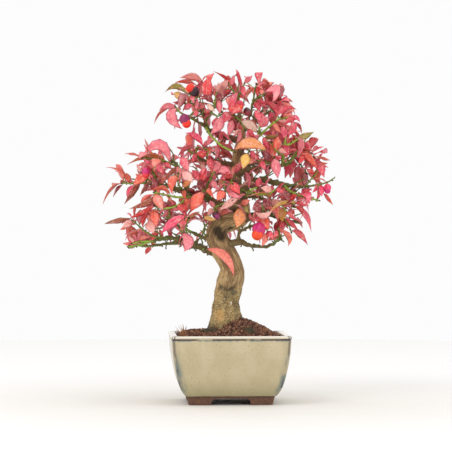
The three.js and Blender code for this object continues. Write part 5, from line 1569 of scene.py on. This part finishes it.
def flat_blade():
    """The blade that every leaf copies: 1 long, from -1 to 1 across at its widest."""
    rows = [(0, 0.05), (0.1, 0.36), (0.23, 0.7), (0.38, 0.95), (0.53, 1), (0.68, 0.82), (0.82, 0.5),
            (0.93, 0.2), (1, 0.03)]
    blade = added(
        bpy.ops.mesh.primitive_grid_add, "flat_blade", size=2, x_subdivisions=4, y_subdivisions=LEAF_ROWS,
        calc_uvs=True,
    )
    for corner in blade.data.vertices:
        row = round((corner.co.y + 1) / 2 * LEAF_ROWS)
        place, half = rows[row]
        corner.co = (corner.co.x * half, place, 0)
    bpy.ops.object.mode_set(mode="EDIT")
    bpy.ops.mesh.select_all(action="SELECT")
    bpy.ops.mesh.duplicate()
    bpy.ops.mesh.flip_normals()
    bpy.ops.transform.translate(value=(0, 0, -1))
    bpy.ops.object.mode_set(mode="OBJECT")
    for corner in blade.data.vertices:
        rim = min(abs(corner.co.y - place) + abs(abs(corner.co.x) - half) for place, half in rows)
        ends = corner.co.y < 0.01 or corner.co.y > 0.99
        corner.co.z = 0 if rim < 0.001 or ends else (1 if corner.co.z > -0.5 else -1)
    bpy.ops.object.mode_set(mode="EDIT")
    bpy.ops.mesh.select_all(action="SELECT")
    bpy.ops.mesh.remove_doubles(threshold=0.0001)
    bpy.ops.object.mode_set(mode="OBJECT")
    return blade


def bent(leaf, corners):
    """The flat blade's corners laid along the leaf's own curve, folded, twisted and curled."""
    chance = random.Random(leaf.seed)
    control = 2 * leaf.middle - (leaf.base + leaf.tip) / 2
    chord = leaf.tip - leaf.base
    across = chord.cross(leaf.face).normalized()
    half = leaf.width / 2
    fold = chance.uniform(0.08, 0.4)
    twist = chance.uniform(-0.45, 0.45)
    curl = chance.uniform(-0.03, 0.13) * chord.length
    ripple = chance.uniform(0.02, 0.1)
    phase = chance.uniform(0, FULL_TURN)
    lopsided = chance.uniform(-0.1, 0.1)
    out = []
    for u, v, w in corners:
        centre = leaf.base * (1 - v) ** 2 + control * 2 * v * (1 - v) + leaf.tip * v ** 2
        tangent = ((control - leaf.base) * (1 - v) + (leaf.tip - control) * v).normalized()
        side = (across - tangent * across.dot(tangent)).normalized()
        normal = side.cross(tangent)
        angle = twist * (v - 0.4)
        turn = Matrix.Rotation(-angle, 3, tangent)
        side, normal = turn @ side, turn @ normal
        wide = u * half * (1 + lopsided * (1 if u > 0 else -1))
        lift = fold * abs(wide) + ripple * half * math.sin(v * 13 + phase + 2 * u) * abs(u)
        lift -= curl * max(0, (v - 0.6) / 0.4) ** 2
        out.append(centre + side * wide + normal * (lift + w * LEAF_THICKNESS / 2))
    return out


def foliage(name, leaves, blade):
    """One mesh of all the leaves of a shoot."""
    corners = [tuple(v.co) for v in blade.data.vertices]
    sides = [tuple(p.vertices) for p in blade.data.polygons]
    spots = [tuple(spot.uv) for spot in blade.data.uv_layers[0].data]
    points, faces, tints, under, veins = [], [], [], [], []
    for leaf in leaves:
        start = len(points)
        points += bent(leaf, corners)
        faces += [tuple(start + k for k in side) for side in sides]
        chance = random.Random(leaf.seed + 1)
        glow = chance.uniform(0.92, 1.15)
        tints += [tuple(part * glow for part in leaf.tone[:3]) + (1,)] * len(corners)
        under += [0.5 - w / 2 for _, _, w in corners]
        veins += [part for spot in spots for part in spot]
    mesh = bpy.data.meshes.new(name)
    mesh.from_pydata(points, [], faces)
    mesh.uv_layers.new(name="UVMap").data.foreach_set("uv", veins)
    mesh.attributes.new("under", "FLOAT", "POINT").data.foreach_set("value", under)
    piece = bpy.data.objects.new(name, mesh)
    bpy.context.collection.objects.link(piece)
    paint(piece, tints)
    smooth(piece)
    return piece


def leaf_skin():
    """Autumn leaf: its tone clouded and spotted, with a pale midrib and side veins."""
    f = Finish("autumn_leaf")
    tint = f.attribute("tint")
    side, along = f.across()
    cloud = f.noise(4.5, 3)
    base = f.mix(tint, colour("FAB4AA"), f.step(cloud, 0.52, 0.72) * 0.5)
    deep = f.mix(tint, colour("A8143A"), 0.55)
    base = f.mix(base, deep, (1 - f.step(cloud, 0.32, 0.48)) * 0.6)
    edge = f.step(side, 0.7, 1)
    base = f.mix(base, colour("D06240"), edge * f.step(f.noise(9), 0.5, 0.7) * 0.5)
    base = f.mix(base, deep, f.step(along, 0.7, 1) * 0.35)
    mottle = f.noise(1.6, 4, 0.7)
    base = f.mix(base, colour("FCC8B6"), f.step(mottle, 0.54, 0.64) * 0.6)
    base = f.mix(base, deep, (1 - f.step(mottle, 0.36, 0.46)) * 0.55)
    speck = (1 - f.step(f.cells(1.7), 0.1, 0.24)) * f.step(f.noise(6), 0.46, 0.58)
    base = f.mix(base, colour("6E2426"), speck * 0.6)
    vein = 1 - f.step(abs(((along * 7 - side * 2.2) * (2 * math.pi)).wave()), 0.0, 0.22)
    base = f.mix(base, colour("F4BFAE"), vein * (1 - edge) * 0.25)
    rib = 1 - f.step(side, 0.03, 0.11)
    base = f.mix(base, colour("F4C0AC"), rib * (1 - along) * 0.6)
    under = f.attribute("under", "Fac")
    base = f.mix(base, colour("E89AA0"), under * 0.35)
    height = vein * -0.4 - rib * 0.8 + cloud * 0.3 + mottle * 0.3
    return f.surface(base, 0.34, height, 0.15, Specular_IOR_Level=0.55)


def twig_skin():
    """Green skin with brown flecks and paler streaks."""
    f = Finish("green_twig")
    tint = f.attribute("tint")
    fine = f.noise(0.9, 3, stretch=(1, 1, 0.6))
    base = f.mix(tint, colour("3A3A18"), (1 - f.step(fine, 0.3, 0.46)) * 0.5)
    base = f.mix(base, colour("B6C062"), f.step(fine, 0.6, 0.8) * 0.4)
    return f.surface(base, 0.55, fine, 0.15)


def twig_pieces(name, shoot, leaves, bud):
    """Green twigs with their leaf stalks, and the buds that sit in pairs along them."""
    chance = random.Random(shoot.seed + 77)
    runs, places = [], []
    stout = STOUT_TWIG if name in LIME_SHOOTS else 1
    for index, line in enumerate(shoot.twigs):
        spots = [seen(*p) for p in line]
        steps = max(6, int(length_of(spots) / 1.2))
        points = curved(spots, steps)
        start = TWIG * (SIDE_TWIG if index else 1)
        radii = spread_over([start * stout, TWIG_TIP * 0.9 * stout], steps)
        for k in range(steps + 1):
            radii[k] *= 0.92 + (0.22 if k % 4 == 0 else 0) + 0.12 * noise.noise(points[k] * 1.1)
            if k % 4 == 0 and k > 1:
                along = (points[min(k + 1, steps)] - points[k - 1]).normalized()
                out = along.orthogonal().normalized()
                out.rotate(Matrix.Rotation(k * math.pi / 8 + 0.4, 3, along))
                for way in (1, -1):
                    if chance.random() < 0.75:
                        aim = (along + out * way * 0.9).normalized()
                        spot = points[k] + out * way * radii[k] * 0.7
                        places.append(bud_place(spot, aim, chance.uniform(0.75, 1.15)))
        along = (points[-1] - points[-2]).normalized()
        places.append(bud_place(points[-1], along, 1.4))
        runs.append((points, radii))
    for leaf in leaves:
        if (leaf.base - leaf.root).length > 0.8:
            middle = leaf.root.lerp(leaf.base, 0.5) + UP * 0.2
            end = leaf.base + (leaf.middle - leaf.base) * 0.08
            runs.append((curved([leaf.root, middle, end], 4), STALK_RADII))
    twigs = tubes(name + "_twigs", runs, 2)
    tones = []
    green, lime = LIME_GREENS if name in LIME_SHOOTS else TWIG_GREENS
    for corner in twigs.data.vertices:
        share = 0.5 + 0.5 * noise.noise(corner.co * 0.12)
        tones.append(tuple(a + (b - a) * share for a, b in zip(green, lime)))
    paint(twigs, tones)
    smooth(twigs)
    buds = copies_of(name + "_buds", bud, places, [colour("3A2C1A")] * len(places))
    smooth(buds)
    return twigs, buds


def bud_place(spot, aim, size):
    """A matrix that sizes a bud and points it along the aim."""
    turn = UP.rotation_difference(aim).to_matrix().to_4x4()
    return Matrix.Translation(spot) @ turn @ Matrix.Scale(size, 4)


def small_bud():
    """The pointed bud that every twig copies, standing along Z."""
    add_ball = bpy.ops.mesh.primitive_uv_sphere_add
    bud = added(add_ball, "small_bud", segments=6, ring_count=5, radius=1)
    for corner in bud.data.vertices:
        x, y, z = corner.co
        taper = 0.5 * (1 - 0.4 * z)
        corner.co = (x * taper, y * taper, (z + 0.8) * 0.75)
    return bud


def shoots():
    """Every shoot's leaves, its twigs and its buds."""
    blade = flat_blade()
    bud = small_bud()
    leaf, twig = leaf_skin(), twig_skin()
    for name, shoot in SHOOTS.items():
        leaves = leaves_of(name, shoot)
        node = "shoot_" + name
        settle(foliage(name + "_leaves", leaves, blade), leaf, node)
        for piece in twig_pieces(name, shoot, leaves, bud):
            settle(piece, twig, node)
    bpy.data.objects.remove(blade)
    bpy.data.objects.remove(bud)


# Fruits

def fruit_skin():
    """Glossy skin of the husks, seed coats and stalks."""
    f = Finish("fruit_skin")
    tint = f.attribute("tint")
    cloud = f.noise(3, 3)
    base = f.mix(tint, colour("5A1230"), (1 - f.step(cloud, 0.3, 0.5)) * 0.35)
    base = f.mix(base, colour("FFB08A"), f.step(cloud, 0.62, 0.8) * 0.25)
    return f.surface(base, 0.32, cloud, 0.15, Specular_IOR_Level=0.5)


def fruit_pieces():
    """Four-lobed husks, split open below around a bright seed coat."""
    skin = fruit_skin()
    add_ball = bpy.ops.mesh.primitive_uv_sphere_add
    for node, stalk, husk, seed, size in FRUITS:
        shell_tone, seed_tone = FRUIT_TONES[node]
        centre = seen(*husk)
        bright = seen(*seed).lerp(centre, 0.2)
        axis = (centre - bright).normalized()
        turn = UP.rotation_difference(axis).to_matrix().to_4x4()
        shell = added(add_ball, node + "_husk", segments=24, ring_count=14, radius=1)
        for corner in shell.data.vertices:
            x, y, z = corner.co
            lobes = 1 + 0.16 * math.cos(4 * math.atan2(y, x)) * (1 - abs(z) ** 3)
            wide = lobes * (1 + 0.12 * max(0, -z)) * size * 0.88
            corner.co = (x * wide, y * wide, z * 1.05 * size)
        shell.data.transform(Matrix.Translation(centre) @ turn)
        paint(shell, TONES[shell_tone])
        smooth(shell)
        coat = added(add_ball, node + "_seed", segments=20, ring_count=12, radius=1)
        for corner in coat.data.vertices:
            x, y, z = corner.co
            wide = (1 - 0.08 * z) * size * 0.86
            corner.co = (x * wide, y * wide, z * size * 0.9)
        coat.data.transform(Matrix.Translation(bright) @ turn)
        paint(coat, TONES[seed_tone])
        smooth(coat)
        start = seen(*stalk)
        points = curved([start, start.lerp(centre, 0.5) + UP * 0.8, centre], 8)
        rod = tubes(node + "_stalk", [(points, spread_over([0.42, 0.36, 0.5], 8))], 2)
        paint(rod, TONES["olive"])
        smooth(rod)
        for piece in (shell, coat, rod):
            settle(piece, skin, node)


# Studio

def studio():
    """A pale floor, a white surround and soft lamps, seen as the photograph sees the tree."""
    add_disc = bpy.ops.mesh.primitive_circle_add
    floor = added(add_disc, "studio_floor", radius=0.9, vertices=96, fill_type="NGON")
    f = Finish("pale_floor")
    grain = f.noise(60, 4, stretch=(0.15, 1, 1))
    near = 1 - f.step((f.x ** 2 + f.y ** 2) ** 0.5, 60, 420)
    paper = f.mix(colour("EAE8E4"), colour("E6E3DC"), grain)
    floor.data.materials.append(f.surface(f.mix(colour("F2F1F0"), paper, near), 0.8))
    world = bpy.data.worlds.new("white_surround")
    world.use_nodes = True
    surround = world.node_tree.nodes["Background"].inputs
    surround["Color"].default_value = (1, 1, 1, 1)
    surround["Strength"].default_value = 0.98
    bpy.context.scene.world = world
    target = seen(0, 0, 130) * MM + POT_PLACE
    for name, place, size, power in (
        ("left_softbox", (-0.8, -0.9, 1.1), 0.7, 5),
        ("top_softbox", (0.2, -0.2, 1.3), 0.8, 2),
        ("right_softbox", (1.0, -0.8, 0.5), 0.8, 1),
    ):
        spot = Vector(place)
        aim = (target - spot).to_track_quat("-Z", "Y").to_euler()
        bpy.ops.object.light_add(type="AREA", location=spot, rotation=aim)
        lamp = bpy.context.object
        lamp.name = name
        lamp.data.size = size
        lamp.data.energy = power
    eye = (Matrix.Rotation(TURN, 3, "Z") @ Vector((EYE_X, -EYE_DISTANCE, EYE_Z))) * MM + POT_PLACE
    bpy.ops.object.camera_add(location=eye, rotation=(math.pi / 2, 0, TURN))
    camera = bpy.context.object
    camera.data.sensor_width = SENSOR
    camera.data.lens = SENSOR * EYE_DISTANCE / VIEW_WIDTH
    camera.data.clip_end = 50
    bpy.context.scene.camera = camera
    bpy.context.scene.view_settings.view_transform = "Standard"


glazed_pot()
drain_pieces()
soil()
moss()
dry_grass()
trunk()
branches()
shoots()
fruit_pieces()
studio()
